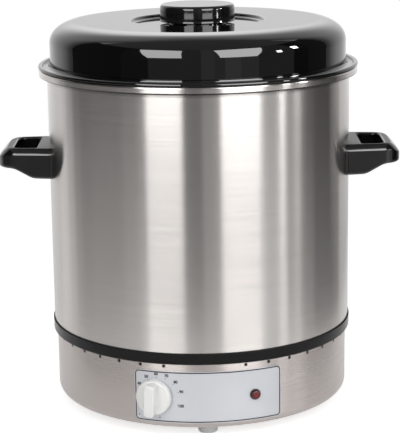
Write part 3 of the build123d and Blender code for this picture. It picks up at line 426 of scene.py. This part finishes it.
def print_ink():
    """Dark grey screen print, a little uneven."""
    finish = Finish("print_ink", (0.007, 0.007, 0.009), 0.5)
    patches = finish.noise(1500)
    finish.colours(patches, (0.3, (0.005, 0.005, 0.007)), (0.7, (0.01, 0.01, 0.012)))
    finish.feed("Roughness", finish.ranged(patches, 0.42, 0.58))
    return finish


slot_finishes = (
    pot_steel(),
    skirt_steel(),
    lid_enamel(),
    moulded("knob_black", (0.006, 0.006, 0.007), 0.08, ior=1.58, grain=300, depth=0.004 * mm),
    handle_black(),
    band_black(),
    foot_pale(),
    label_sheet(),
    dial_white(),
    lamp_red(),
    moulded("lamp_black", (0.016, 0.006, 0.006), 0.3),
    lamp_glass(),
    metal("plate_steel", (0.55, 0.56, 0.57), 0.38, grain=90),
    metal("bright_aluminium", (0.78, 0.79, 0.80), 0.3),
    metal("fastener_steel", (0.62, 0.61, 0.60), 0.25, grain=1500),
    metal("brass", (0.78, 0.58, 0.26), 0.28, grain=1200),
    metal("copper", (0.72, 0.38, 0.22), 0.32, grain=1200),
    moulded("silicone", (0.50, 0.50, 0.48), 0.5),
    metal("element_sheath", (0.24, 0.22, 0.21), 0.5, grain=500),
    moulded("thermostat_plastic", (0.10, 0.09, 0.085), 0.45),
    moulded("block_ceramic", (0.80, 0.79, 0.75), 0.6, grain=1400, variation=0.04),
    moulded("wire_brown", (0.16, 0.07, 0.03), 0.45),
    moulded("wire_black", (0.025, 0.025, 0.025), 0.45),
    moulded("wire_blue", (0.03, 0.10, 0.36), 0.45),
    moulded("wire_green", (0.08, 0.33, 0.08), 0.45),
    moulded("gland_black", (0.018, 0.018, 0.018), 0.4),
)
materials = {finish.name: finish.material for finish in slot_finishes}
ink = print_ink().material
for subpart in frame["record"]["subparts"]:
    for slot in frame["nodes"][subpart["node"]].material_slots:
        slot.material = materials[subpart["material_slot"]]


# Meshes of the pieces that are made here

weld_distance = 0.001 * mm


def tube(rings):
    """A closed surface through rings of as many points, with the last ring joined to the first."""
    made = bmesh.new()
    loops = [[made.verts.new(point) for point in ring] for ring in rings]
    for loop, following in zip(loops, loops[1:] + loops[:1]):
        for i in range(len(loop)):
            made.faces.new((loop[i - 1], following[i - 1], following[i], loop[i]))
    return made


def finished_mesh(made, name):
    bmesh.ops.recalc_face_normals(made, faces=made.faces)
    mesh = bpy.data.meshes.new(name)
    made.to_mesh(mesh)
    made.free()
    return mesh


def finer_piece(name, rings, node, body, slot):
    """A smooth piece through rings of points, in the place of a CAD node."""
    made = tube(rings)
    bmesh.ops.remove_doubles(made, verts=made.verts, dist=weld_distance)
    mesh = finished_mesh(made, name)
    mesh.shade_smooth()
    mesh.materials.append(materials[slot])
    piece = linked(bpy.data.objects.new(name, mesh))
    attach(piece, body)
    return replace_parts(piece, node)


# Pot and lid sheets, turned in fine steps for clean reflections. Places are (radius, level) in
# millimetres, and angles are in degrees.

turn_steps = 288
arc_step = 5.0
straight_end = 0.6  # length of the first and the last stretch of a straight run
largest_end = 0.4  # share of a run that such a stretch may take
same_place = 1e-6

pot_radius = 175.0
pot_thickness = 1.0
pot_corner = 5.0  # outside, between the floor and the wall
rim_bend = 2.2  # outside, along the rim's top
rim_lower_bend = 0.8
rim_gap = 1.6  # between the wall and the end of the fold

lid_radius = 171.0  # of its wall
lid_thickness = 0.8
lid_hole = 2.8  # radius, for the knob's screw
flange_depth = 51.7  # below the lid's top
bead_place = 182.0  # radius to the middle of the bead
bead_rise = 0.45  # from the flange to the middle of the bead
bead_radius = 2.8
bead_end = -4.0
gutter_radius = 1.2  # of the bend between the flange and the bead
foot_bend = 4.0  # between the flange and the wall
under_bend = 1.2  # between the flange and the doubled foot of the wall
foot_depth = 6.3  # of the doubled foot, below the flange
shoulder_radius = 20.0
shoulder_rise = 27.5  # from the flange to the middle of the shoulder's bend
crown_across = 10.5  # from the middle of the shoulder's bend to where the crown is level
crown_rise = flange_depth - shoulder_rise
recess_radius = 79.5
recess_depth = 4.6
recess_upper_bend = 4.5
recess_lower_bend = 3.5


def around(middle, radius, angle):
    """The place at an angle and a distance from a middle."""
    turn = math.radians(angle)
    return middle[0] + radius * math.cos(turn), middle[1] + radius * math.sin(turn)


def arc(middle, radius, start, sweep, steps=None):
    """Places along an arc, from a start angle and through a sweep."""
    steps = steps or max(2, math.ceil(abs(sweep) / arc_step))
    return [around(middle, radius, start + sweep * i / steps) for i in range(steps + 1)]


def direction(start, end):
    """The angle of the line from one place to another."""
    return math.degrees(math.atan2(end[1] - start[1], end[0] - start[0]))


def joined(*runs):
    """The runs in one line, with the straight joins between them held flat up to their ends."""
    line = []
    for run in runs:
        if line:
            start, end = line[-1], run[0]
            share = straight_end / max(math.dist(start, end), straight_end)
            if share < largest_end:
                for part in (share, 1 - share):
                    line.append(tuple(a + (b - a) * part for a, b in zip(start, end)))
            elif math.dist(start, end) < same_place:
                line.pop()
        line += run
    return line


def turned(name, outline, node, body, slot):
    """A sheet turned round the pot's axis, in the place of a CAD node."""
    rings = []
    for step in range(turn_steps):
        turn = math.tau * step / turn_steps
        across, along = math.sin(turn), -math.cos(turn)
        rings.append([Vector((r * across, r * along, z)) * mm for r, z in outline])
    return finer_piece(name, rings, node, body, slot)


def pot_sheet():
    """The pot: floor, wall and a rim that is folded outwards and down."""
    low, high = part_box("pot_shell")
    bottom, top, rim = low.z / mm, high.z / mm, high.x / mm
    inside = pot_radius - pot_thickness
    fold = top - rim_fold_height / mm
    inner_bend = rim_bend - pot_thickness
    corner_middle = (pot_radius - pot_corner, bottom + pot_corner)
    near_middle = (inside + rim_bend, top - rim_bend)
    far_middle = (rim - rim_bend, top - rim_bend)
    outline = joined(
        [(0, bottom)],
        arc(corner_middle, pot_corner, -90, 90),
        arc(near_middle, inner_bend, 180, -90),
        arc(far_middle, inner_bend, 90, -90),
        [(rim - pot_thickness, fold + pot_thickness), (pot_radius + rim_gap, fold + pot_thickness)],
        [(pot_radius + rim_gap, fold)],
        arc((rim - rim_lower_bend, fold + rim_lower_bend), rim_lower_bend, -90, 90),
        arc(far_middle, rim_bend, 0, 90),
        arc(near_middle, rim_bend, 90, 90),
        arc(corner_middle, pot_corner - pot_thickness, 0, -90),
        [(0, bottom + pot_thickness)],
    )
    return turned("pot_sheet", outline, "pot_shell", "base", "pot_steel")


def lid_crown(top, inset):
    """Runs from the lid's shoulder over its crown to the hole, at an inset from the outside."""
    crown_fall = crown_rise - shoulder_radius
    crown_radius = (crown_across**2 + crown_rise**2 - shoulder_radius**2) / (2 * crown_fall)
    shoulder_middle = (lid_radius - shoulder_radius, top - crown_rise)
    crown_middle = (shoulder_middle[0] - crown_across, top - crown_radius)
    shoulder_turn = direction(crown_middle, shoulder_middle)
    recess_bends = recess_upper_bend + recess_lower_bend
    recess_turn = math.degrees(math.acos(1 - recess_depth / recess_bends))
    recess_across = recess_bends * math.sin(math.radians(recess_turn))
    upper_middle = (recess_radius, top - recess_upper_bend)
    lower_middle = (recess_radius - recess_across, top - recess_depth + recess_lower_bend)
    return (
        arc(shoulder_middle, shoulder_radius - inset, 0, shoulder_turn),
        arc(crown_middle, crown_radius - inset, shoulder_turn, 90 - shoulder_turn),
        arc(upper_middle, recess_upper_bend - inset, 90, recess_turn),
        arc(lower_middle, recess_lower_bend + inset, recess_turn - 90, -recess_turn),
        [(lid_hole, top - recess_depth - inset)],
    )


def lid_sheet():
    """The lid: a beaded flange, a doubled foot of the wall, a round shoulder and a sunk middle."""
    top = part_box("lid_shell")[1].z / mm
    flange = top - flange_depth
    bead_middle = (bead_place, flange + bead_rise)
    gutter_across = math.sqrt((bead_radius + gutter_radius) ** 2 - (gutter_radius - bead_rise) ** 2)
    gutter_middle = (bead_place - gutter_across, flange + gutter_radius)
    gutter_end = direction(gutter_middle, bead_middle)
    bead_sweep = 180 + gutter_end - bead_end
    half_sheet = lid_thickness / 2
    lip_middle = around(bead_middle, bead_radius - half_sheet, bead_end)
    under_middle = (lid_radius + lid_thickness + under_bend, flange - lid_thickness - under_bend)
    upper = joined(
        arc(bead_middle, bead_radius, bead_end, bead_sweep),
        arc(gutter_middle, gutter_radius, gutter_end, -90 - gutter_end),
        arc((lid_radius + foot_bend, flange + foot_bend), foot_bend, -90, -90),
        *lid_crown(top, 0),
    )
    under = joined(
        arc(lip_middle, half_sheet, bead_end, -180),
        arc(bead_middle, bead_radius - lid_thickness, bead_end, bead_sweep),
        arc(gutter_middle, gutter_radius + lid_thickness, gutter_end, -90 - gutter_end),
        arc(under_middle, under_bend, 90, 90),
        arc((lid_radius, flange - foot_depth + lid_thickness), lid_thickness, 0, -180),
        *lid_crown(top, lid_thickness),
    )
    return turned("lid_sheet", upper + under[:0:-1], "lid_shell", "lid", "lid_enamel")


pot_sheet()
lid_sheet()


# Handles, each one closed loop of rounded sections between the finger gap and the outside. Places
# are outwards from the pot's axis, along its wall and up from the handle's top, in millimetres.

handle_angles = {"right_handle": 87.65, "left_handle": 267.65}
wall_clearance = 0.05
wall_repeats = 4  # of the steps that lead a place out of the pot's wall
handle_reach = 233.1
handle_hidden_end = 140.0  # where the loop ends inside the pot's wall, before it is cut to it
handle_crest = 0.5  # above the CAD solid
handle_root_depth = 35.0
handle_grip_depth = 23.5
handle_slope = (192.0, 213.5)  # where the underside rises from the root to the grip
handle_slope_blend = 4.0
slope_blend_steps = 4
handle_fall = 5.5  # of the top, at the outside of the grip
handle_fall_length = 18.0
handle_half_width = 46.0  # at the pot's wall
handle_taper = math.tan(math.radians(6.0))
handle_side_bar = 8.2
handle_gap = (188.0, 214.0)
grip_corner = 27.0
gap_root_corner = 2.0
gap_grip_corner = 9.0
top_edge_share = 0.56  # of a section's width
top_edge_depth = 7.2
top_edge_shape = 1.7  # 1 makes an edge round, 2 a flat chamfer
gap_edge = 2.3
gap_edge_shape = 1.2
bottom_edge = 3.0
plan_arc_steps = 14
plan_side_steps = 16
section_steps = 8


def handle_corners(ends, inset):
    """Corners of an outline of the handle seen from above, from the near end of one side round."""
    halves = [handle_half_width - inset - (end - pot_radius) * handle_taper for end in ends]
    near, far = (Vector(place) for place in zip(ends, halves))
    return [near, far, Vector((far.x, -far.y)), Vector((near.x, -near.y))]


def corner_arc(corners, i, radius):
    """Points along a rounded corner."""
    corner = corners[i]
    back = (corners[i - 1] - corner).normalized()
    on = (corners[(i + 1) % len(corners)] - corner).normalized()
    turn = math.pi - back.angle(on)
    middle = corner + (back + on).normalized() * radius / math.cos(turn / 2)
    spoke = corner + back * radius * math.tan(turn / 2) - middle
    turns = [-turn * step / plan_arc_steps for step in range(plan_arc_steps + 1)]
    return [middle + Matrix.Rotation(angle, 2) @ spoke for angle in turns]


def straight(start, end, steps):
    """Points from a start to an end, with both among them."""
    return [start.lerp(end, step / steps) for step in range(steps + 1)]


def closed_plan(*runs):
    """The runs in one outline, with points along the straight joins between them."""
    outline = []
    for run, following in zip(runs, runs[1:] + runs[:1]):
        outline += run
        outline += straight(run[-1], following[0], plan_side_steps)[1:-1]
    return outline


def handle_outside():
    """The outside seen from above, with a straight run along each side up to the finger gap."""
    corners = handle_corners((handle_hidden_end, handle_reach), 0)
    foot = handle_gap[0] + gap_root_corner
    foot_share = (foot - handle_hidden_end) / (handle_reach - handle_hidden_end)
    side = straight(corners[0], corners[0].lerp(corners[1], foot_share), plan_arc_steps)
    other_side = [Vector((place.x, -place.y)) for place in reversed(side)]
    grip = [corner_arc(corners, i, grip_corner) for i in (1, 2)]
    return closed_plan(side, *grip, other_side)


def handle_opening():
    """The finger gap seen from above, in as many points as the outside."""
    corners = handle_corners(handle_gap, handle_side_bar)
    radii = (gap_root_corner, gap_grip_corner, gap_grip_corner, gap_root_corner)
    return closed_plan(*(corner_arc(corners, i, radius) for i, radius in enumerate(radii)))


def underside(out):
    """The level of the handle's underside."""
    start, end = handle_slope
    steps = range(-slope_blend_steps, slope_blend_steps + 1)
    shifts = [handle_slope_blend * step / slope_blend_steps for step in steps]
    shares = [min(1.0, max(0.0, (out + shift - start) / (end - start))) for shift in shifts]
    rise = sum(shares) / len(shares)
    return -handle_root_depth + (handle_root_depth - handle_grip_depth) * rise


def upper_side(out):
    """The level of the handle's top."""
    beyond = max(0.0, out - handle_reach + handle_fall_length)
    return -handle_fall * (beyond / handle_fall_length) ** 2


def outside_wall(place):
    """The place, or where a line along the handle's tapered side leads from it out of the wall."""
    for repeat in range(wall_repeats):
        short = math.sqrt(pot_radius**2 - place.y**2) + wall_clearance - place.x
        if short > 0:
            place = place + Vector((short, -math.copysign(handle_taper * short, place.y)))
    return place


def eased(share, shape):
    return math.copysign(abs(share) ** shape, share)


def handle_section(gap, outside):
    """Round one section, with its straight sides held flat up to their ends."""
    width = (outside - gap).length
    across = (outside - gap) / width
    rounded = top_edge_share * width
    # Each edge: its middle from the gap, radii across and down, start angle, level, way to its middle
    # and shape
    rounds = (
        (width - rounded, rounded, top_edge_depth, 0, upper_side, -1, top_edge_shape),
        (gap_edge, gap_edge, gap_edge, 90, upper_side, -1, gap_edge_shape),
        (gap_edge, gap_edge, gap_edge, 180, underside, 1, 1),
        (width - bottom_edge, bottom_edge, bottom_edge, 270, underside, 1, 1),
    )
    arcs = []
    for middle, wide, tall, start, level, way, shape in rounds:
        run = []
        for step in range(section_steps + 1):
            turn = math.radians(start + 90 * step / section_steps)
            place = outside_wall(gap + across * (middle + wide * eased(math.cos(turn), shape)))
            run.append(Vector((*place, level(place.x) + tall * (way + eased(math.sin(turn), shape)))))
        arcs.append(run)
    line = []
    for run, following in zip(arcs, arcs[1:] + arcs[:1]):
        start, end = run[-1], following[0]
        share = min(largest_end, straight_end / max((end - start).length, straight_end))
        line += run
        line += [start.lerp(end, share), start.lerp(end, 1 - share)]
    return line


def handle_loop(node, angle):
    """A handle, in the place of a CAD node."""
    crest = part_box(node)[1].z + handle_crest * mm
    place = Matrix.Translation((0, 0, crest)) @ Matrix.Rotation(math.radians(angle - 90), 4, "Z")
    sections = []
    for gap, outside in zip(handle_opening(), handle_outside()):
        sections.append([place @ (point * mm) for point in handle_section(gap, outside)])
    return finer_piece(node + "_loop", sections, node, "base", "handle_black")


for node, angle in handle_angles.items():
    handle_loop(node, angle)


# Panel print. Places are (across, level): round the skirt from the panel's middle, and up.

label_low, label_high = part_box("control_label")
label_radius = -label_low.y
print_thickness = 0.03 * mm
print_gap = 0.01 * mm
border_inset = 0.7 * mm
border_width = 1.3 * mm
border_corner = 4.8 * mm
border_corner_steps = 8
border_step = 2 * mm
scale_middle = (-56 * mm, 49.1 * mm)
scale_numbers = {40: -59.5, 50: -32.5, 60: -6.0, 70: 20.0, 80: 46.5, 90: 74.0, 100: 110.5}
number_radius = 26.7 * mm
number_height = 3.1 * mm
number_weight = 0.22 * mm
digit_share = 0.7  # a digit's height over the size of its font
tick_radius = 22.9 * mm
tick_length = 1.3 * mm
tick_width = 0.6 * mm
scale_dots = ((-134.0, 32.5 * mm), (178.0, 24.0 * mm))  # clock angle and radius of the end marks
dot_radius = 0.75 * mm
dot_sides = 20


def on_label(across, level, rise):
    """The point at a place on the label and a height off its face."""
    angle = across / skirt_radius
    radius = label_radius + rise
    return Vector((radius * math.sin(angle), -radius * math.cos(angle), level))


def lifted(outline, rise):
    """An outline on the label, at a height over the gap under the print."""
    return [on_label(across, level, print_gap + rise) for across, level in outline]


def print_piece(name, mesh):
    obj = linked(bpy.data.objects.new(name, mesh))
    mesh.materials.append(ink)
    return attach(obj, "base")


def rounded_outline(half_width, low, high, corner):
    """Places round a rectangle with rounded corners."""
    left, right = corner - half_width, half_width - corner
    lower, upper = low + corner, high - corner
    outline = []
    for quarter, middle in enumerate(((right, upper), (left, upper), (left, lower), (right, lower))):
        outline += arc(middle, corner, 90 * quarter, 90, border_corner_steps)
    return outline


def with_steps(inner, outer):
    """The same two outlines, with places added along their long straight sides."""
    more_inner, more_outer = [], []
    count = len(outer)
    for i in range(count):
        j = (i + 1) % count
        steps = max(1, round(math.dist(outer[i], outer[j]) / border_step))
        for k in range(steps):
            for places, more in ((inner, more_inner), (outer, more_outer)):
                more.append(tuple(a + (b - a) * k / steps for a, b in zip(places[i], places[j])))
    return more_inner, more_outer


def label_border():
    half = math.asin(label_high.x / label_radius) * skirt_radius
    outlines = []
    for inset in (border_inset + border_width, border_inset):
        corner = border_corner - inset + border_inset
        outlines.append(rounded_outline(half - inset, label_low.z + inset, label_high.z - inset, corner))
    inner, outer = with_steps(*outlines)
    edges = ((inner, 0), (outer, 0), (outer, print_thickness), (inner, print_thickness))
    made = tube([lifted(outline, rise) for outline, rise in edges])
    return print_piece("label_border", finished_mesh(made, "label_border"))


def scale_place(clock, radius):
    """The place on the dial's scale at a clock angle from the top."""
    return around(scale_middle, radius, 90 - clock)


def dial_number(number, clock):
    curve = bpy.data.curves.new("number", "FONT")
    curve.body = str(number)
    curve.size = number_height / digit_share
    curve.align_x = "CENTER"
    curve.align_y = "CENTER"
    curve.offset = number_weight
    curve.extrude = print_thickness / 2
    text = linked(bpy.data.objects.new("number", curve))
    mesh = bpy.data.meshes.new_from_object(text.evaluated_get(bpy.context.evaluated_depsgraph_get()))
    bpy.data.objects.remove(text)
    bpy.data.curves.remove(curve)
    across, level = scale_place(clock, number_radius)
    for vertex in mesh.vertices:
        rise = print_gap + print_thickness / 2 + vertex.co.z
        vertex.co = on_label(across + vertex.co.x, level + vertex.co.y, rise)
    mesh.materials.clear()
    return print_piece(f"dial_number_{number}", mesh)


def flat_print(name, outline):
    """A thin closed patch of ink with the given outline."""
    made = bmesh.new()
    low = [made.verts.new(point) for point in lifted(outline, 0)]
    high = [made.verts.new(point) for point in lifted(outline, print_thickness)]
    made.faces.new(high)
    made.faces.new(low[::-1])
    for i in range(len(outline)):
        made.faces.new((low[i - 1], low[i], high[i], high[i - 1]))
    return print_piece(name, finished_mesh(made, name))


def dial_tick(number, clock):
    turn = math.radians(clock)
    along = Vector((math.sin(turn), math.cos(turn))) * tick_length / 2
    beside = Vector((math.cos(turn), -math.sin(turn))) * tick_width / 2
    middle = Vector(scale_place(clock, tick_radius))
    outline = [middle + along * a + beside * b for a, b in ((1, 1), (1, -1), (-1, -1), (-1, 1))]
    return flat_print(f"dial_tick_{number}", outline)


def dial_dot(index, clock, radius):
    outline = arc(scale_place(clock, radius), dot_radius, 0, 360, dot_sides)[:-1]
    return flat_print(f"dial_dot_{index}", outline)


label_border()
for number, clock in scale_numbers.items():
    dial_number(number, clock)
    dial_tick(number, clock)
for index, (clock, radius) in enumerate(scale_dots):
    dial_dot(index, clock, radius)


# Studio. Angles are in degrees.

table_half_width = 0.45
table_front = -0.54
table_back = 1.6
table_colour = (0.82, 0.82, 0.82)
table_roughness = 0.9
table_glow = 0.62  # makes the lit table white to the eye and leaves the shadow on it
table_glow_reflected = 0.3
background_light = 0.55  # of the white surroundings, for what they light
card_distance = 12.0
wall_distance = 14.0  # and how far up and down the walls reach
wall_steps = 24
# Studio walls in front and beside the pot: from and to which angle, and how bright
wall_join = -1.7  # level between the upper and the lower walls
upper_walls = (
    (-113, -62, 0.04), (-62, -40, 0.06), (-40, 0, 0.18), (0, 10, 0.30), (10, 18, 0.24),
    (18, 30, 0.38), (30, 44, 0.28), (44, 75, 0.16), (75, 90, 0.03), (90, 113, 0.05),
)
# The lower ones have two brightnesses, above and below the floor's join
floor_join = -2.9
lower_walls = (
    (-165, -135, 0.78, 0.78), (-135, -121, 0.94, 0.95), (-121, -111, 0.66, 0.84),
    (-111, -103, 0.26, 0.71), (-103, -92, 0.12, 0.67), (-92, -62, 0.14, 0.71),
    (-62, -46, 0.22, 0.77), (-46, -13, 0.28, 0.34), (-13, 0, 0.06, 0.38),
    (0, 12, 0.40, 0.48), (12, 45, 0.38, 0.42), (45, 60, 0.84, 0.98),
    (60, 67, 0.66, 0.98), (67, 79, 0.50, 0.64), (79, 95, 0.03, 0.54),
    (95, 115, 0.02, 0.34), (115, 131, 0.16, 0.26), (131, 165, 0.66, 0.52),
)
# Lit screen behind the pot, seen in reflections: brightness by the angle from straight behind and
# by the slope above the pot, and of the brighter patch that is added to it
screen_ends = (113, 247)
screen_foot = -1.4
screen_slope = 78
screen_across = ((0, 1.0), (30, 1.0), (40, 0.9), (50, 0.8), (55, 0.65), (59, 0.5), (63, 0.3), (67, 0.2))
screen_up = ((0, 1.0), (58, 1.0), (65, 0.8), (70, 0.5), (78, 0.3))
patch_brightness = 2.7
patch_across = ((0, 1.0), (10, 0.85), (15, 0.6), (20, 0.35), (25, 0.15), (32, 0.0))
patch_up = (
    (8, 0.0), (13, 0.15), (24, 0.5), (33, 0.85), (40, 1.0), (46, 0.95), (50, 0.45), (56, 0.15), (62, 0.0),
)
ceiling_back = 3.0
ceiling_brightness = 0.25
# Softboxes: angles of the bottom's ends, of the top's ends, bottom and top levels, brightness
softboxes = (
    ((-40.3, -14.2), (-53.5, -15.8), -0.2, 10.2, 5.8),
    ((14.0, 42.6), (11.0, 54.0), -0.3, 10.0, 6.3),
)
lamp_heads = (
    ((59.6, 64.2), (59.6, 64.2), 1.4, 3.6, 22.0),
    ((75.9, 81.1), (75.9, 81.1), 3.6, 6.0, 45.0),
)
# Lamps that light the pot from the softboxes' sides: angle, width, height and level
side_lamps = ((-30.5, 1.1, 1.45, 1.0), (34.0, 1.1, 1.3, 0.9))
side_lamp_distance = 1.6
side_lamp_power = 14.0
top_lamp_place = Vector((0, 0.3, 2.2))
top_lamp_side = 1.6
top_lamp_power = 6.0
pot_middle = Vector((0, 0, (cad_box[0].z + cad_box[1].z) / 2))


def hidden_from_camera(obj, diffuse=True):
    obj.visible_camera = False
    obj.visible_shadow = False
    obj.visible_diffuse = diffuse
    return obj


def glow(name, strength):
    """A plain glowing material of one grey."""
    material = bpy.data.materials.new(name)
    tree = Nodes(material)
    tree.nodes.clear()
    emission = tree.add("ShaderNodeEmission")
    emission.inputs["Strength"].default_value = strength
    output = tree.add("ShaderNodeOutputMaterial")
    tree.links.new(emission.outputs["Emission"], output.inputs["Surface"])
    return material


def sheet(name, points, material, faces=((0, 1, 2, 3),)):
    mesh = bpy.data.meshes.new(name)
    mesh.from_pydata(points, [], faces)
    mesh.materials.append(material)
    return linked(bpy.data.objects.new(name, mesh))


def from_front(angle, distance, level):
    turn = math.radians(angle)
    return Vector((distance * math.sin(turn), -distance * math.cos(turn), level))


def round_sheet(name, distance, ends, levels, brightness, diffuse=True):
    """An upright glowing sheet that bends round the pot between two angles and two levels."""
    start, end = ends
    points = []
    for i in range(wall_steps + 1):
        angle = start + (end - start) * i / wall_steps
        points += [from_front(angle, distance, level) for level in levels]
    faces = [(i, i + 2, i + 3, i + 1) for i in range(0, 2 * wall_steps, 2)]
    return hidden_from_camera(sheet(name, points, glow(name, brightness), faces), diffuse)


def studio_walls():
    upper_levels = (wall_join, wall_distance)
    lower_levels = (floor_join, wall_join)
    floor_levels = (-wall_distance, floor_join)
    for start, end, brightness in upper_walls:
        round_sheet(f"upper_wall_{start}", wall_distance, (start, end), upper_levels, brightness)
    for start, end, brightness, floor_brightness in lower_walls:
        round_sheet(f"lower_wall_{start}", wall_distance, (start, end), lower_levels, brightness)
        round_sheet(f"floor_{start}", wall_distance, (start, end), floor_levels, floor_brightness)


def screen_behind():
    """The lit screen: a soft field of light with a brighter patch above the pot's back."""
    high = card_distance * math.tan(math.radians(screen_slope))
    levels = (screen_foot, high)
    screen = round_sheet("lit_screen", card_distance, screen_ends, levels, 1.0, diffuse=False)
    tree = Nodes(screen.data.materials[0])
    x, y, z = tree.split(tree.place())
    across = tree.worked("DEGREES", tree.worked("ARCTAN2", tree.worked("ABSOLUTE", x), y))
    slope = tree.worked("DEGREES", tree.worked("ARCTANGENT", tree.worked("DIVIDE", z, card_distance)))
    field = tree.worked("MULTIPLY", tree.along(across, screen_across), tree.along(slope, screen_up))
    patch = tree.worked("MULTIPLY", tree.along(across, patch_across), tree.along(slope, patch_up))
    strength = tree.worked("ADD", field, tree.worked("MULTIPLY", patch, patch_brightness))
    tree.links.new(strength, tree.nodes["Emission"].inputs["Strength"])


def studio_ceiling():
    reach = wall_distance
    ends = ((-reach, -reach), (reach, -reach), (reach, ceiling_back), (-reach, ceiling_back))
    points = [(*end, reach) for end in ends]
    hidden_from_camera(sheet("studio_ceiling", points, glow("ceiling", ceiling_brightness)))


def card(name, bottom_ends, top_ends, bottom, top, brightness):
    """A glowing card in front of the walls, seen in reflections only."""
    points = [from_front(angle, card_distance, bottom) for angle in bottom_ends]
    points += [from_front(angle, card_distance, top) for angle in reversed(top_ends)]
    hidden_from_camera(sheet(name, points, glow(name, brightness)), diffuse=False)


def lamp(name, place, width, height, power):
    """A lamp that points at the pot's middle and isn't seen itself."""
    data = bpy.data.lights.new(name, "AREA")
    data.shape = "RECTANGLE"
    data.size = width
    data.size_y = height
    data.energy = power
    obj = linked(bpy.data.objects.new(name, data))
    obj.location = place
    obj.rotation_euler = (pot_middle - place).to_track_quat("-Z", "Y").to_euler()
    obj.visible_glossy = False
    obj.visible_camera = False


def table():
    finish = Finish("table", table_colour, table_roughness)
    seen, reflected = finish.seen_directly()
    seen_glow = finish.worked("MULTIPLY", seen, table_glow)
    reflected_glow = finish.worked("MULTIPLY", reflected, table_glow_reflected)
    finish.set("Emission Color", (1, 1, 1, 1))
    finish.feed("Emission Strength", finish.worked("ADD", seen_glow, reflected_glow))
    finish.set("Specular IOR Level", 0.0)
    left, right = -table_half_width, table_half_width
    ends = ((left, table_front), (right, table_front), (right, table_back), (left, table_back))
    sheet("table", [(*end, 0) for end in ends], finish.material)


def surroundings():
    """White where they are seen, and a softer light on what they light."""
    world = bpy.data.worlds.new("surroundings")
    bpy.context.scene.world = world
    tree = Nodes(world)
    tree.nodes.clear()
    mix = tree.add("ShaderNodeMixShader")
    tree.links.new(tree.worked("MAXIMUM", *tree.seen_directly()), mix.inputs["Fac"])
    for socket, strength in ((mix.inputs[1], background_light), (mix.inputs[2], 1.0)):
        background = tree.add("ShaderNodeBackground")
        background.inputs["Color"].default_value = (1, 1, 1, 1)
        background.inputs["Strength"].default_value = strength
        tree.links.new(background.outputs["Background"], socket)
    output = tree.add("ShaderNodeOutputWorld")
    tree.links.new(mix.outputs["Shader"], output.inputs["Surface"])


def camera():
    data = bpy.data.cameras.new("camera")
    data.sensor_width = sensor_size
    data.lens = focal_length_pixels / picture_long_side * sensor_size
    obj = linked(bpy.data.objects.new("camera", data))
    place = from_front(math.degrees(camera_azimuth), camera_distance, camera_height)
    turn = Matrix.Rotation(camera_azimuth, 4, "Z") @ Matrix.Rotation(math.pi / 2 - camera_pitch, 4, "X")
    obj.matrix_world = Matrix.Translation(place) @ turn @ Matrix.Rotation(camera_roll, 4, "Z")
    bpy.context.scene.camera = obj


table()
surroundings()
studio_walls()
screen_behind()
studio_ceiling()
for index, box in enumerate(softboxes):
    card(f"softbox_{index}", *box)
for index, head in enumerate(lamp_heads):
    card(f"lamp_head_{index}", *head)
for index, (angle, width, height, level) in enumerate(side_lamps):
    place = from_front(angle, side_lamp_distance, level)
    lamp(f"side_lamp_{index}", place, width, height, side_lamp_power)
lamp("top_lamp", top_lamp_place, top_lamp_side, top_lamp_side, top_lamp_power)
camera()
bpy.context.scene.view_settings.view_transform = "Standard"
